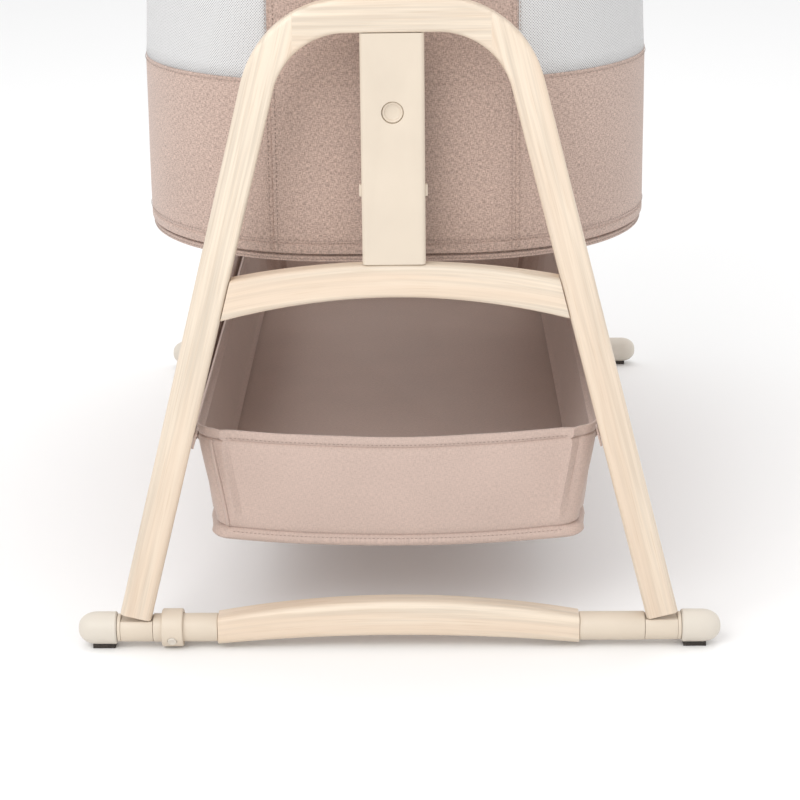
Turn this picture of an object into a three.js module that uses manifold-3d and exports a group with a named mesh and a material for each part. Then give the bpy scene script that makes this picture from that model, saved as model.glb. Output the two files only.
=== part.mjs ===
// A bassinet on a standing frame: two bent-wood end frames on foot rails that turn over from standing to
// rocking, a height-adjustable fabric bassinet held between them, and a fabric storage basket below.
// Millimetres, +Z up. The origin is on the floor, in the middle of the footprint. Y runs along the bassinet.
// Each end is modelled at -Y, facing outwards; the rear end is the same end turned half round.

import * as THREE from "three";
import { mergeVertices } from "three/addons/utils/BufferGeometryUtils.js";
import Module from "manifold-3d";

const wasm = await Module();
wasm.setup();

// ---- Driving dimensions -------------------------------------------------------------------------

const TOUCH = 0.3; // gap between pieces that are fitted together
const RUN = 0.3; // radial play of a turning or sliding pin

const FRAME_SPACING = 860; // between the middles of the two end frames, along Y

// Foot rail, turning about its own long axis
const RAIL_LENGTH = 570;
const CAP_LENGTH = 34.7;
const COLLAR_WIDTH = 32;
const SLEEVE_LENGTH = 58; // from the wooden bar's end to the collar
const BAR_DEPTH = 25;
const BAR_RISE = 14.5; // rise of the bar's upper face at mid length
const BAR_HOLLOW = 7.7; // rise of the bar's lower face at mid length
const SLEEVE_RADIUS = 12.7;
const RING_WALL = 4;
const RING_WIDTH = 19;
const RING_NECK = 8; // bare sleeve between the ring and the collar
const RING_CLEARANCE = 0.5; // between the ring and the floor
const COLLAR_RADIUS = 12.5;
const AXLE_RADIUS = 8;
const SEAT_SKIN = 0.7; // between the collar's bore and its flat seat
const CAP_RADIUS = 14.5;
const CAP_DOME = 14; // length of the cap's rounded end
const CAP_BORE_DEPTH = 15;
const PAD_LENGTH = 20;
const PAD_WIDTH = 12;
const PAD_INSET = 2; // from the cap's inner end
const PAD_WRAP = 2; // how far the pad's edges rise up the cap's sides
const RING_BUTTON_RADIUS = 4;
const RING_BUTTON_PROUD = 1.2;
const RING_BUTTON_DEPTH = 5;
const RING_BUTTON_TRAVEL = 3;
const RING_BUTTON_DIP = 25; // degrees below level, seen along the rail

// End frame, bent wood
const WOOD_WIDTH = 28;
const WOOD_DEPTH = 22;
const WOOD_EDGE = 3; // rounding of the wood's edges
const ARCH_TOP = 575.5;
const ARCH_RADIUS = 77; // at the middle of the wood
const ARCH_FLAT = 75.4; // length of the straight top between the two bends
const FOOT_SETBACK = 1.4; // from the collar's inner end to the foot's lowest corner

// Dowel from the collar up into the leg
const DOWEL_RADIUS = 6;
const DOWEL_LENGTH = 34;

// Cross bar between the legs
const CROSS_TOP = 351; // its upper face at mid span
const CROSS_RISE = 13; // rise of the upper face from the legs to mid span
const CROSS_THICK = 29; // height of the bar at mid span
const CROSS_END_THICK = 36; // height of the bar at the legs
const CROSS_DEPTH = 20;

// Height-adjust column, a box with a slot in its back
const COLUMN_WIDTH = 53.5;
const COLUMN_FRONT = 9; // column's front face ahead of the frame's middle plane
const COLUMN_BACK = 22; // column's back face behind the frame's middle plane
const COLUMN_WALL = 3;
const COLUMN_CORNER = 4;
const SLOT_WIDTH = 25;
const SLOT_HEAD = 18.2; // closed column above the slot
const LUG_HEIGHT = 10;
const LUG_RISE = 62.7; // middle of the side lugs above the column's foot
const LUG_PROUD = 2;
const LUG_DEPTH = 6;

// Height button and the release bar behind it
const BUTTON_DROP = 66.2; // middle of the button below the column's head
const BUTTON_RADIUS = 9;
const BUTTON_FLANGE = 2;
const BUTTON_FLANGE_THICK = 1;
const BUTTON_DOME = 1;
const BUTTON_RECESS = 1.5;
const BUTTON_TRAVEL = 3;
const RELEASE_BAR_WIDTH = 12;
const RELEASE_BAR_THICK = 1.5;

// Carriage inside the column, and the bracket that hangs the bassinet on it
const CARRIAGE_HEIGHT = 44;
const CARRIAGE_DEPTH = 13.5;
const CARRIAGE_CLEARANCE = 2.4; // between the pressed release bar and the carriage
const CARRIAGE_SIDE_PLAY = 0.75;
const CARRIAGE_FOOT_GAP = 4.7; // under the carriage at its lowest
const PIVOT_BACK = 31; // pivot axis behind the frame's middle plane
const TONGUE_WIDTH = 22;
const TONGUE_RADIUS = 8;
const TONGUE_FOOT_GAP = 5; // between the tongue at its lowest and the end of the slot
const PIN_RADIUS = 3;
const PIN_PROUD = 2;
const EAR_THICK = 4;
const EAR_RADIUS = 7;
const EAR_GAP = 0.5;
const BRACKET_WIDTH = 50;
const BRACKET_HEIGHT = 48;
const BRACKET_THICK = 2.7;

// Bassinet
const BASSINET_WIDTH = 458;
const BASSINET_END_GAP = 44; // from the frame's middle plane to the end panel
const BASSINET_CORNER = 180;
const BASSINET_BELOW_PIVOT = 31;
const BASSINET_HEIGHT = 402;
const BAND_HEIGHT = 152; // closed fabric below the windows
const WINDOW_HEAD = 55; // closed fabric above the windows
const PANEL_HALF = 105; // half width of the closed end panel between the windows
const FABRIC_WALL = 3;
const FABRIC_FLOOR = 2;
const MESH_THICK = 1.2;
const RIM_HEIGHT = 40;
const RIM_PROUD = 3;
const RIM_THICK = 20;
const RIM_SKIN = 4;
const TUBE = 12; // height of the bassinet's steel hoops
const TUBE_EDGE = 3;
const END_BOARD = 4;
const END_BOARD_MARGIN = 5; // from the board's edge to the panel's seam
const BASE_BOARD = 5;
const MATTRESS = 30;
const MATTRESS_EDGE = 6;
const MATTRESS_PLAY = 1;
const TRIM_DROP = 7; // base trim below the fabric
const TRIM_LIP = 5; // height of the trim's outer lip
const TRIM_INSET = 2.5;
const TRIM_WIDTH = 6;

// Storage basket and the side tubes that join the end frames
const BASKET_TOP = 200;
const BASKET_DEPTH = 108;
const BASKET_TUCK = 1.7; // how far the basket's rim reaches behind the leg's inner edge
const BASKET_END_GAP = 17; // from the frame's middle plane to the basket's rim
const BASKET_SIDE_TAPER = 11; // inward lean of each side wall
const BASKET_END_TAPER = 8; // inward lean of each end wall
const BASKET_WALL = 3;
const BASKET_SAG = 11; // sag of the end panels' upper edge
const BASKET_BOARD = 4;
const BASKET_BOARD_PLAY = 1.5;
const SIDE_TUBE_RADIUS = 8;
const SIDE_TUBE_DROP = 6; // tube's middle below the basket's rim
const STRAP_THICK = 2;
const STRAP_LENGTH = 20;
const STRAP_HEIGHT = 14;

const ARC_STEPS = 4; // a round stretch of an outline has twice as many sides
const BOW_STEPS = 6; // sides along a bowed edge
const ROUND_STEPS = 16;
const DOME_STEPS = 6;

// ---- Materials ----------------------------------------------------------------------------------

const material = (color, roughness, metalness = 0) =>
  new THREE.MeshStandardMaterial({ color, roughness, metalness });

const PALE_WOOD = material(0xeedcbe, 0.55);
const CREAM_PLASTIC = material(0xefe0cb, 0.5);
const CAP_PLASTIC = material(0xe8dfd2, 0.5);
const RUBBER = material(0x2c2622, 0.85);
const STEEL = material(0xb9bbbd, 0.4, 0.9);
const WHITE_STEEL = material(0xe8e6e2, 0.4, 0.3);
const LINEN = material(0xc4a79a, 0.95);
const BASKET_LINEN = material(0xbf9f92, 0.95);
const WHITE_MESH = material(0xf4f2f0, 0.8);
const WHITE_COTTON = material(0xf5f3ef, 0.9);
const FIBREBOARD = material(0xb59a78, 0.8);

// ---- Places worked out from the driving dimensions ---------------------------------------------

const FRAME_Y = -FRAME_SPACING / 2;
const RING_RADIUS = SLEEVE_RADIUS + TOUCH + RING_WALL;
const AXIS_HEIGHT = RING_RADIUS + RING_CLEARANCE;
const CAP_INNER_X = RAIL_LENGTH / 2 - CAP_LENGTH;
const COLLAR_OUTER_X = CAP_INNER_X - TOUCH;
const COLLAR_INNER_X = COLLAR_OUTER_X - COLLAR_WIDTH;
const BAR_HALF = COLLAR_INNER_X - SLEEVE_LENGTH;
const SLEEVE_INNER_X = BAR_HALF + TOUCH;
const SLEEVE_OUTER_X = COLLAR_INNER_X - TOUCH;
const RING_OUTER_X = COLLAR_INNER_X - RING_NECK;
const RING_X = RING_OUTER_X - RING_WIDTH / 2;
const PAD_RISE = AXIS_HEIGHT - CAP_RADIUS + PAD_WRAP;
const FOOT_INNER_X = COLLAR_INNER_X + FOOT_SETBACK;
const SEAT_Z = AXIS_HEIGHT + AXLE_RADIUS + RUN + SEAT_SKIN;
const SHOULDER_X = ARCH_FLAT / 2;
const SHOULDER_Z = ARCH_TOP - WOOD_WIDTH / 2 - ARCH_RADIUS;

// The leg's lean from upright: its inner edge runs from the foot's inner corner to the inside of the bend.
const LEAN = (() => {
  const across = FOOT_INNER_X - SHOULDER_X;
  const up = SHOULDER_Z - SEAT_Z - TOUCH;
  const reach = Math.hypot(across, up);
  return Math.acos((ARCH_RADIUS - WOOD_WIDTH / 2) / reach) - Math.atan2(up, across);
})();
const FOOT_OUTER_X = FOOT_INNER_X + WOOD_WIDTH * Math.cos(LEAN);
const FOOT_X = (FOOT_INNER_X + FOOT_OUTER_X) / 2;
const FOOT_Z = SEAT_Z + TOUCH + (WOOD_WIDTH / 2) * Math.sin(LEAN);

const COLUMN_FRONT_Y = FRAME_Y - COLUMN_FRONT;
const COLUMN_BACK_Y = FRAME_Y + COLUMN_BACK;
const COLUMN_FOOT = CROSS_TOP + TOUCH;
const COLUMN_HEAD = ARCH_TOP - WOOD_WIDTH - TOUCH;
const LUG_Z = COLUMN_FOOT + LUG_RISE;
const BUTTON_Z = COLUMN_HEAD - BUTTON_DROP;
const BACK_PLATE_Y = COLUMN_BACK_Y - COLUMN_WALL;
const CHANNEL_Y = COLUMN_FRONT_Y + COLUMN_WALL;
const RELEASE_BAR_Y = CHANNEL_Y + TOUCH + BUTTON_FLANGE_THICK + TOUCH;
const CARRIAGE_Y = RELEASE_BAR_Y + RELEASE_BAR_THICK + BUTTON_TRAVEL + CARRIAGE_CLEARANCE;
const PIVOT_Y = FRAME_Y + PIVOT_BACK;
const PIVOT_Z = COLUMN_FOOT + CARRIAGE_FOOT_GAP + CARRIAGE_HEIGHT / 2;
const SLOT_BOTTOM = PIVOT_Z - TONGUE_RADIUS - TONGUE_FOOT_GAP;
const SLOT_TOP = COLUMN_HEAD - SLOT_HEAD;

const BASSINET_LENGTH = FRAME_SPACING - 2 * BASSINET_END_GAP;
const BASSINET_END_Y = -BASSINET_LENGTH / 2;
const BASSINET_BOTTOM = PIVOT_Z - BASSINET_BELOW_PIVOT;
const BASSINET_TOP = BASSINET_BOTTOM + BASSINET_HEIGHT;
const WINDOW_BOTTOM = BASSINET_BOTTOM + BAND_HEIGHT;
const WINDOW_TOP = BASSINET_TOP - WINDOW_HEAD;
const RIM_BOTTOM = BASSINET_TOP - RIM_HEIGHT;
const COVER_TOP = RIM_BOTTOM - TOUCH;
const FLOOR_TOP = BASSINET_BOTTOM + FABRIC_FLOOR;
const BOARD_INSET = FABRIC_WALL + TOUCH;
const HOOP_INSET = BOARD_INSET + END_BOARD + 2 * TOUCH;
const HOOP_TOP = FLOOR_TOP + TOUCH + TUBE;
const BASE_TOP = HOOP_TOP + TOUCH + BASE_BOARD;
const RIM_HOOP_TOP = BASSINET_TOP - RIM_SKIN - TOUCH;
const RIM_HOOP_INSET = RIM_SKIN - RIM_PROUD + TOUCH;
const RIM_HOLLOW = RIM_THICK - 2 * RIM_SKIN;

// Distance of the leg's middle line from the frame's own middle, at height z.
const legX = (z) => FOOT_X - (z - FOOT_Z) * Math.tan(LEAN);
const legInnerX = (z) => legX(z) - WOOD_WIDTH / 2 / Math.cos(LEAN);

const BASKET_TOP_WIDTH = 2 * (legInnerX(BASKET_TOP) + BASKET_TUCK);
const BASKET_BOTTOM_WIDTH = BASKET_TOP_WIDTH - 2 * BASKET_SIDE_TAPER;
const BASKET_TOP_LENGTH = FRAME_SPACING - 2 * BASKET_END_GAP;
const BASKET_BOTTOM_LENGTH = BASKET_TOP_LENGTH - 2 * BASKET_END_TAPER;
const BASKET_BOTTOM = BASKET_TOP - BASKET_DEPTH;
const SIDE_TUBE_Z = BASKET_TOP - SIDE_TUBE_DROP;

// ---- Solids -------------------------------------------------------------------------------------

function solid(geometry) {
  const bare = geometry.index ? geometry.toNonIndexed() : geometry.clone();
  bare.deleteAttribute("normal");
  bare.deleteAttribute("uv");
  const merged = mergeVertices(bare, 1e-4);
  const vertProperties = merged.attributes.position.array;
  const triVerts = new Uint32Array(merged.index.array);
  return new wasm.Manifold(new wasm.Mesh({ numProp: 3, vertProperties, triVerts }));
}

function surface(manifold) {
  const { vertProperties, triVerts } = manifold.getMesh();
  const geometry = new THREE.BufferGeometry();
  geometry.setAttribute("position", new THREE.BufferAttribute(vertProperties, 3));
  geometry.setIndex(new THREE.BufferAttribute(triVerts, 1));
  geometry.computeVertexNormals();
  return geometry;
}

function piece(name, manifold, finish) {
  const mesh = new THREE.Mesh(surface(manifold), finish);
  mesh.name = name;
  return mesh;
}

function extruded(shape, thickness, edge, steps = ARC_STEPS) {
  return new THREE.ExtrudeGeometry(shape, {
    depth: thickness - 2 * edge,
    curveSegments: steps,
    bevelEnabled: edge > 0,
    bevelThickness: edge,
    bevelSize: edge,
    bevelOffset: -edge,
    bevelSegments: 1,
  });
}

// An outline in the XZ plane, made solid along Y.
function standing(shape, yLow, yHigh, edge = 0, steps = ARC_STEPS) {
  const geometry = extruded(shape, yHigh - yLow, edge, steps);
  geometry.rotateX(Math.PI / 2);
  geometry.translate(0, yHigh - edge, 0);
  return solid(geometry);
}

// An outline in the XY plane, made solid along Z.
function lying(shape, zLow, zHigh, edge = 0) {
  const geometry = extruded(shape, zHigh - zLow, edge);
  geometry.translate(0, 0, zLow + edge);
  return solid(geometry);
}

// An outline in the YZ plane, made solid along X.
function sideways(shape, xLow, xHigh) {
  const geometry = extruded(shape, xHigh - xLow, 0);
  geometry.rotateX(Math.PI / 2);
  geometry.rotateZ(Math.PI / 2);
  geometry.translate(xLow, 0, 0);
  return solid(geometry);
}

function block(low, high) {
  const size = high.map((value, axis) => value - low[axis]);
  const geometry = new THREE.BoxGeometry(...size);
  geometry.translate(...high.map((value, axis) => (value + low[axis]) / 2));
  return solid(geometry);
}

// A round bar along X.
function barAlongX(radius, xLow, xHigh, y, z) {
  const geometry = new THREE.CylinderGeometry(radius, radius, xHigh - xLow, ROUND_STEPS);
  geometry.rotateZ(Math.PI / 2);
  geometry.translate((xLow + xHigh) / 2, y, z);
  return solid(geometry);
}

// A round bar along Y.
function barAlongY(radius, yLow, yHigh, x, z) {
  const geometry = new THREE.CylinderGeometry(radius, radius, yHigh - yLow, ROUND_STEPS);
  geometry.translate(x, (yLow + yHigh) / 2, z);
  return solid(geometry);
}

// ---- End frame ----------------------------------------------------------------------------------

// The arch's outline: up the right leg, round the shoulders and down the left leg.
function archOutline() {
  const across = [(WOOD_WIDTH / 2) * Math.cos(LEAN), (WOOD_WIDTH / 2) * Math.sin(LEAN)];
  const outer = ARCH_RADIUS + WOOD_WIDTH / 2;
  const inner = ARCH_RADIUS - WOOD_WIDTH / 2;
  const shape = new THREE.Shape();
  shape.moveTo(FOOT_X - across[0], FOOT_Z - across[1]);
  shape.lineTo(FOOT_X + across[0], FOOT_Z + across[1]);
  shape.absarc(SHOULDER_X, SHOULDER_Z, outer, LEAN, Math.PI / 2, false);
  shape.absarc(-SHOULDER_X, SHOULDER_Z, outer, Math.PI / 2, Math.PI - LEAN, false);
  shape.lineTo(-FOOT_X - across[0], FOOT_Z + across[1]);
  shape.lineTo(-FOOT_X + across[0], FOOT_Z - across[1]);
  shape.absarc(-SHOULDER_X, SHOULDER_Z, inner, Math.PI - LEAN, Math.PI / 2, true);
  shape.absarc(SHOULDER_X, SHOULDER_Z, inner, Math.PI / 2, LEAN, true);
  shape.closePath();
  return shape;
}

// A round dowel from the collar up into the foot of the leg, along the leg's own line.
function dowel(side, radius) {
  const geometry = new THREE.CylinderGeometry(radius, radius, DOWEL_LENGTH, ROUND_STEPS);
  geometry.rotateX(Math.PI / 2);
  geometry.rotateY(-side * LEAN);
  geometry.translate(side * legX(FOOT_Z), FRAME_Y, FOOT_Z);
  return solid(geometry);
}

function arch(end) {
  const half = WOOD_DEPTH / 2;
  let wood = standing(archOutline(), FRAME_Y - half, FRAME_Y + half, WOOD_EDGE);
  for (const side of [-1, 1]) {
    wood = wood.subtract(dowel(side, DOWEL_RADIUS + TOUCH));
  }
  return piece(end + "_arch", wood, PALE_WOOD);
}

function crossBar(end) {
  const half = CROSS_DEPTH / 2;
  const endTop = CROSS_TOP - CROSS_RISE;
  const endBottom = endTop - CROSS_END_THICK;
  const middleBottom = CROSS_TOP - CROSS_THICK;
  const topX = legInnerX(endTop) - TOUCH / Math.cos(LEAN);
  const bottomX = legInnerX(endBottom) - TOUCH / Math.cos(LEAN);
  const shape = new THREE.Shape();
  shape.moveTo(-bottomX, endBottom);
  shape.quadraticCurveTo(0, 2 * middleBottom - endBottom, bottomX, endBottom);
  shape.lineTo(topX, endTop);
  shape.quadraticCurveTo(0, 2 * CROSS_TOP - endTop, -topX, endTop);
  shape.closePath();
  const wood = standing(shape, FRAME_Y - half, FRAME_Y + half, WOOD_EDGE, BOW_STEPS);
  return piece(end + "_cross_bar", wood, PALE_WOOD);
}

// ---- Foot rail ----------------------------------------------------------------------------------

function railBar(end) {
  const half = BAR_DEPTH / 2;
  const low = AXIS_HEIGHT - SLEEVE_RADIUS;
  const high = AXIS_HEIGHT + SLEEVE_RADIUS;
  const shape = new THREE.Shape();
  shape.moveTo(-BAR_HALF, low);
  shape.quadraticCurveTo(0, low + 2 * BAR_HOLLOW, BAR_HALF, low);
  shape.lineTo(BAR_HALF, high);
  shape.quadraticCurveTo(0, high + 2 * BAR_RISE, -BAR_HALF, high);
  shape.closePath();
  const wood = standing(shape, FRAME_Y - half, FRAME_Y + half, WOOD_EDGE, BOW_STEPS);
  return piece(end + "_rail_bar", wood, PALE_WOOD);
}

// The well that the ring button sinks into, along its own line.
function buttonPin(radius, near, far) {
  const geometry = new THREE.CylinderGeometry(radius, radius, far - near, ROUND_STEPS);
  geometry.translate(0, -(near + far) / 2, 0);
  geometry.rotateX(THREE.MathUtils.degToRad(RING_BUTTON_DIP));
  geometry.translate(-RING_X, FRAME_Y, AXIS_HEIGHT);
  return solid(geometry);
}

function buttonWell() {
  const floor = RING_RADIUS + RING_BUTTON_PROUD - RING_BUTTON_DEPTH - RING_BUTTON_TRAVEL - TOUCH;
  return buttonPin(RING_BUTTON_RADIUS + RUN, floor, RING_RADIUS + 2 * RING_BUTTON_PROUD);
}

// A sleeve with the stub axle that runs through the collar into the cap. The lock side has a button well.
function sleeve(end, side, well) {
  const stubEnd = CAP_INNER_X + CAP_BORE_DEPTH - TOUCH;
  let body = barAlongX(SLEEVE_RADIUS, SLEEVE_INNER_X, SLEEVE_OUTER_X, FRAME_Y, AXIS_HEIGHT);
  body = body.add(barAlongX(AXLE_RADIUS, SLEEVE_INNER_X + SLEEVE_RADIUS, stubEnd, FRAME_Y, AXIS_HEIGHT));
  if (side < 0) {
    body = body.mirror([1, 0, 0]).subtract(well);
  }
  return piece(end + (side < 0 ? "_left_sleeve" : "_right_sleeve"), body, CREAM_PLASTIC);
}

function lockRing(end, well) {
  const bore = SLEEVE_RADIUS + TOUCH;
  const low = -RING_OUTER_X;
  const high = low + RING_WIDTH;
  let ring = barAlongX(RING_RADIUS, low, high, FRAME_Y, AXIS_HEIGHT);
  ring = ring.subtract(barAlongX(bore, low - RING_WIDTH, high + RING_WIDTH, FRAME_Y, AXIS_HEIGHT));
  return piece(end + "_lock_ring", ring.subtract(well), CREAM_PLASTIC);
}

function ringButton(end) {
  const outer = RING_RADIUS + RING_BUTTON_PROUD;
  const button = buttonPin(RING_BUTTON_RADIUS, outer - RING_BUTTON_DEPTH, outer);
  return piece(end + "_ring_button", button, CAP_PLASTIC);
}

// The collar under the leg: a short tube with a flat seat under the foot, a dowel up into the leg, and its
// outer end left round.
function collar(end, side) {
  const low = Math.min(side * COLLAR_INNER_X, side * COLLAR_OUTER_X);
  const high = low + COLLAR_WIDTH;
  const seat = [side * (COLLAR_INNER_X - COLLAR_WIDTH), side * (FOOT_OUTER_X + TOUCH)];
  const above = block(
    [Math.min(...seat), FRAME_Y - COLLAR_RADIUS * 2, SEAT_Z],
    [Math.max(...seat), FRAME_Y + COLLAR_RADIUS * 2, SEAT_Z + COLLAR_RADIUS],
  );
  let body = barAlongX(COLLAR_RADIUS, low, high, FRAME_Y, AXIS_HEIGHT).subtract(above);
  body = body.add(dowel(side, DOWEL_RADIUS));
  const bore = barAlongX(AXLE_RADIUS + RUN, low - 1, high + 1, FRAME_Y, AXIS_HEIGHT);
  return piece(end + (side < 0 ? "_left_collar" : "_right_collar"), body.subtract(bore), CREAM_PLASTIC);
}

// The domed cap on the end of the axle, turned about the rail's axis.
function capSolid() {
  const bore = AXLE_RADIUS + TOUCH;
  const points = [
    new THREE.Vector2(0, CAP_BORE_DEPTH),
    new THREE.Vector2(bore, CAP_BORE_DEPTH),
    new THREE.Vector2(bore, 0),
    new THREE.Vector2(CAP_RADIUS, 0),
  ];
  for (let i = 0; i <= DOME_STEPS; i += 1) {
    const turn = (i / DOME_STEPS) * (Math.PI / 2);
    const radius = i === DOME_STEPS ? 0 : CAP_RADIUS * Math.cos(turn);
    points.push(new THREE.Vector2(radius, CAP_LENGTH - CAP_DOME + CAP_DOME * Math.sin(turn)));
  }
  const geometry = new THREE.LatheGeometry(points, ROUND_STEPS);
  geometry.rotateZ(-Math.PI / 2);
  geometry.translate(CAP_INNER_X, FRAME_Y, AXIS_HEIGHT);
  return solid(geometry);
}

function cap(end, side) {
  const body = side < 0 ? capSolid().mirror([1, 0, 0]) : capSolid();
  return piece(end + (side < 0 ? "_left_cap" : "_right_cap"), body, CAP_PLASTIC);
}

// The rubber pad under the cap, hollowed to the cap's curve.
function footPad(end, side) {
  const low = CAP_INNER_X + PAD_INSET;
  const high = low + PAD_LENGTH;
  let pad = block([low, FRAME_Y - PAD_WIDTH / 2, 0], [high, FRAME_Y + PAD_WIDTH / 2, PAD_RISE]);
  pad = pad.subtract(barAlongX(CAP_RADIUS + TOUCH, low - 1, high + 1, FRAME_Y, AXIS_HEIGHT));
  const body = side < 0 ? pad.mirror([1, 0, 0]) : pad;
  return piece(end + (side < 0 ? "_left_pad" : "_right_pad"), body, RUBBER);
}

// ---- Column, button and carriage ----------------------------------------------------------------

// The shell's section: a channel with rounded front corners, open at the back.
function shellOutline() {
  const half = COLUMN_WIDTH / 2;
  const inner = half - COLUMN_WALL;
  const back = BACK_PLATE_Y - TOUCH;
  const shape = new THREE.Shape();
  shape.moveTo(half, back);
  shape.lineTo(inner, back);
  shape.lineTo(inner, CHANNEL_Y);
  shape.lineTo(-inner, CHANNEL_Y);
  shape.lineTo(-inner, back);
  shape.lineTo(-half, back);
  const cornerX = half - COLUMN_CORNER;
  const cornerY = COLUMN_FRONT_Y + COLUMN_CORNER;
  shape.absarc(-cornerX, cornerY, COLUMN_CORNER, Math.PI, 1.5 * Math.PI);
  shape.absarc(cornerX, cornerY, COLUMN_CORNER, 1.5 * Math.PI, 2 * Math.PI);
  shape.closePath();
  return shape;
}

function columnShell(end) {
  let shell = lying(shellOutline(), COLUMN_FOOT, COLUMN_HEAD);
  const lugX = (COLUMN_WIDTH - COLUMN_WALL) / 2;
  for (const side of [-1, 1]) {
    const near = Math.min(side * lugX, side * (COLUMN_WIDTH / 2 + LUG_PROUD));
    const far = Math.max(side * lugX, side * (COLUMN_WIDTH / 2 + LUG_PROUD));
    const low = [near, FRAME_Y - LUG_DEPTH / 2, LUG_Z - LUG_HEIGHT / 2];
    const high = [far, FRAME_Y + LUG_DEPTH / 2, LUG_Z + LUG_HEIGHT / 2];
    shell = shell.add(block(low, high));
  }
  const hole = barAlongY(BUTTON_RADIUS + RUN, COLUMN_FRONT_Y - 1, CHANNEL_Y + 1, 0, BUTTON_Z);
  return piece(end + "_column_shell", shell.subtract(hole), CREAM_PLASTIC);
}

function columnBack(end) {
  const half = COLUMN_WIDTH / 2;
  const plate = block([-half, BACK_PLATE_Y, COLUMN_FOOT], [half, COLUMN_BACK_Y, COLUMN_HEAD]);
  const slot = block(
    [-SLOT_WIDTH / 2, BACK_PLATE_Y - 1, SLOT_BOTTOM],
    [SLOT_WIDTH / 2, COLUMN_BACK_Y + 1, SLOT_TOP],
  );
  return piece(end + "_column_back", plate.subtract(slot), CREAM_PLASTIC);
}

// The round button: a shallow domed head in the shell's hole, and a flange behind the wall that holds it in.
function heightButton(end) {
  const face = COLUMN_FRONT_Y + BUTTON_RECESS;
  const flangeFront = CHANNEL_Y + TOUCH;
  const flangeBack = flangeFront + BUTTON_FLANGE_THICK;
  const points = [
    new THREE.Vector2(0, -flangeBack),
    new THREE.Vector2(BUTTON_RADIUS + BUTTON_FLANGE, -flangeBack),
    new THREE.Vector2(BUTTON_RADIUS + BUTTON_FLANGE, -flangeFront),
    new THREE.Vector2(BUTTON_RADIUS, -flangeFront),
    new THREE.Vector2(BUTTON_RADIUS, -face - BUTTON_DOME),
    new THREE.Vector2(BUTTON_RADIUS / 2, -face - BUTTON_DOME / 4),
    new THREE.Vector2(0, -face),
  ];
  const geometry = new THREE.LatheGeometry(points, ROUND_STEPS);
  geometry.rotateX(Math.PI);
  geometry.translate(0, 0, BUTTON_Z);
  return piece(end + "_height_button", solid(geometry), CREAM_PLASTIC);
}

function releaseBar(end) {
  const half = RELEASE_BAR_WIDTH / 2;
  const back = RELEASE_BAR_Y + RELEASE_BAR_THICK;
  const bar = block([-half, RELEASE_BAR_Y, SLOT_BOTTOM], [half, back, SLOT_TOP]);
  return piece(end + "_release_bar", bar, STEEL);
}

// The carriage: a block in the channel, with a round-ended tongue out through the slot to the pivot.
function carriage(end) {
  const half = COLUMN_WIDTH / 2 - COLUMN_WALL - CARRIAGE_SIDE_PLAY;
  const low = PIVOT_Z - CARRIAGE_HEIGHT / 2;
  const back = CARRIAGE_Y + CARRIAGE_DEPTH;
  let body = block([-half, CARRIAGE_Y, low], [half, back, low + CARRIAGE_HEIGHT]);
  const shape = new THREE.Shape();
  shape.moveTo(back - 2, PIVOT_Z + TONGUE_RADIUS);
  shape.lineTo(back - 2, PIVOT_Z - TONGUE_RADIUS);
  shape.absarc(PIVOT_Y, PIVOT_Z, TONGUE_RADIUS, -Math.PI / 2, Math.PI / 2, false);
  shape.closePath();
  body = body.add(sideways(shape, -TONGUE_WIDTH / 2, TONGUE_WIDTH / 2));
  const hole = barAlongX(PIN_RADIUS + RUN, -TONGUE_WIDTH, TONGUE_WIDTH, PIVOT_Y, PIVOT_Z);
  return piece(end + "_carriage", body.subtract(hole), WHITE_STEEL);
}

function pivotPin(end) {
  const half = TONGUE_WIDTH / 2 + EAR_GAP + EAR_THICK + PIN_PROUD;
  return piece(end + "_pivot_pin", barAlongX(PIN_RADIUS, -half, half, PIVOT_Y, PIVOT_Z), STEEL);
}

// The bracket on the bassinet's end: a plate with two ears, one on each side of the tongue.
function bracket(end) {
  const back = BASSINET_END_Y - TOUCH;
  const front = back - BRACKET_THICK;
  let body = block(
    [-BRACKET_WIDTH / 2, front, PIVOT_Z - BRACKET_HEIGHT / 2],
    [BRACKET_WIDTH / 2, back, PIVOT_Z + BRACKET_HEIGHT / 2],
  );
  const shape = new THREE.Shape();
  shape.moveTo(front + 1, PIVOT_Z - EAR_RADIUS);
  shape.lineTo(front + 1, PIVOT_Z + EAR_RADIUS);
  shape.absarc(PIVOT_Y, PIVOT_Z, EAR_RADIUS, Math.PI / 2, 1.5 * Math.PI, false);
  shape.closePath();
  const near = TONGUE_WIDTH / 2 + EAR_GAP;
  for (const low of [near, -near - EAR_THICK]) {
    body = body.add(sideways(shape, low, low + EAR_THICK));
  }
  const hole = barAlongX(PIN_RADIUS + TOUCH, -BRACKET_WIDTH, BRACKET_WIDTH, PIVOT_Y, PIVOT_Z);
  return piece(end + "_bracket", body.subtract(hole), WHITE_STEEL);
}

// ---- Bassinet -----------------------------------------------------------------------------------

// The bassinet's plan, a rectangle with large round corners, drawn in by an inset.
function plan(inset) {
  const x = BASSINET_WIDTH / 2 - BASSINET_CORNER;
  const y = BASSINET_LENGTH / 2 - BASSINET_CORNER;
  const radius = BASSINET_CORNER - inset;
  const shape = new THREE.Shape();
  [[x, y], [-x, y], [-x, -y], [x, -y]].forEach(([cx, cy], quarter) => {
    const start = (quarter * Math.PI) / 2;
    shape.absarc(cx, cy, radius, start, start + Math.PI / 2, false);
  });
  shape.closePath();
  return shape;
}

// A wall that follows the plan between two insets.
function wall(outer, inner, zLow, zHigh, edge = 0) {
  const shape = plan(outer);
  shape.holes.push(plan(inner));
  return lying(shape, zLow, zHigh, edge);
}

// Everything beyond the end panels on one side, between two heights.
function sideRegion(side, from, zLow, zHigh) {
  const low = side < 0 ? -BASSINET_WIDTH : from;
  const high = side < 0 ? -from : BASSINET_WIDTH;
  return block([low, -BASSINET_LENGTH, zLow], [high, BASSINET_LENGTH, zHigh]);
}

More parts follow.
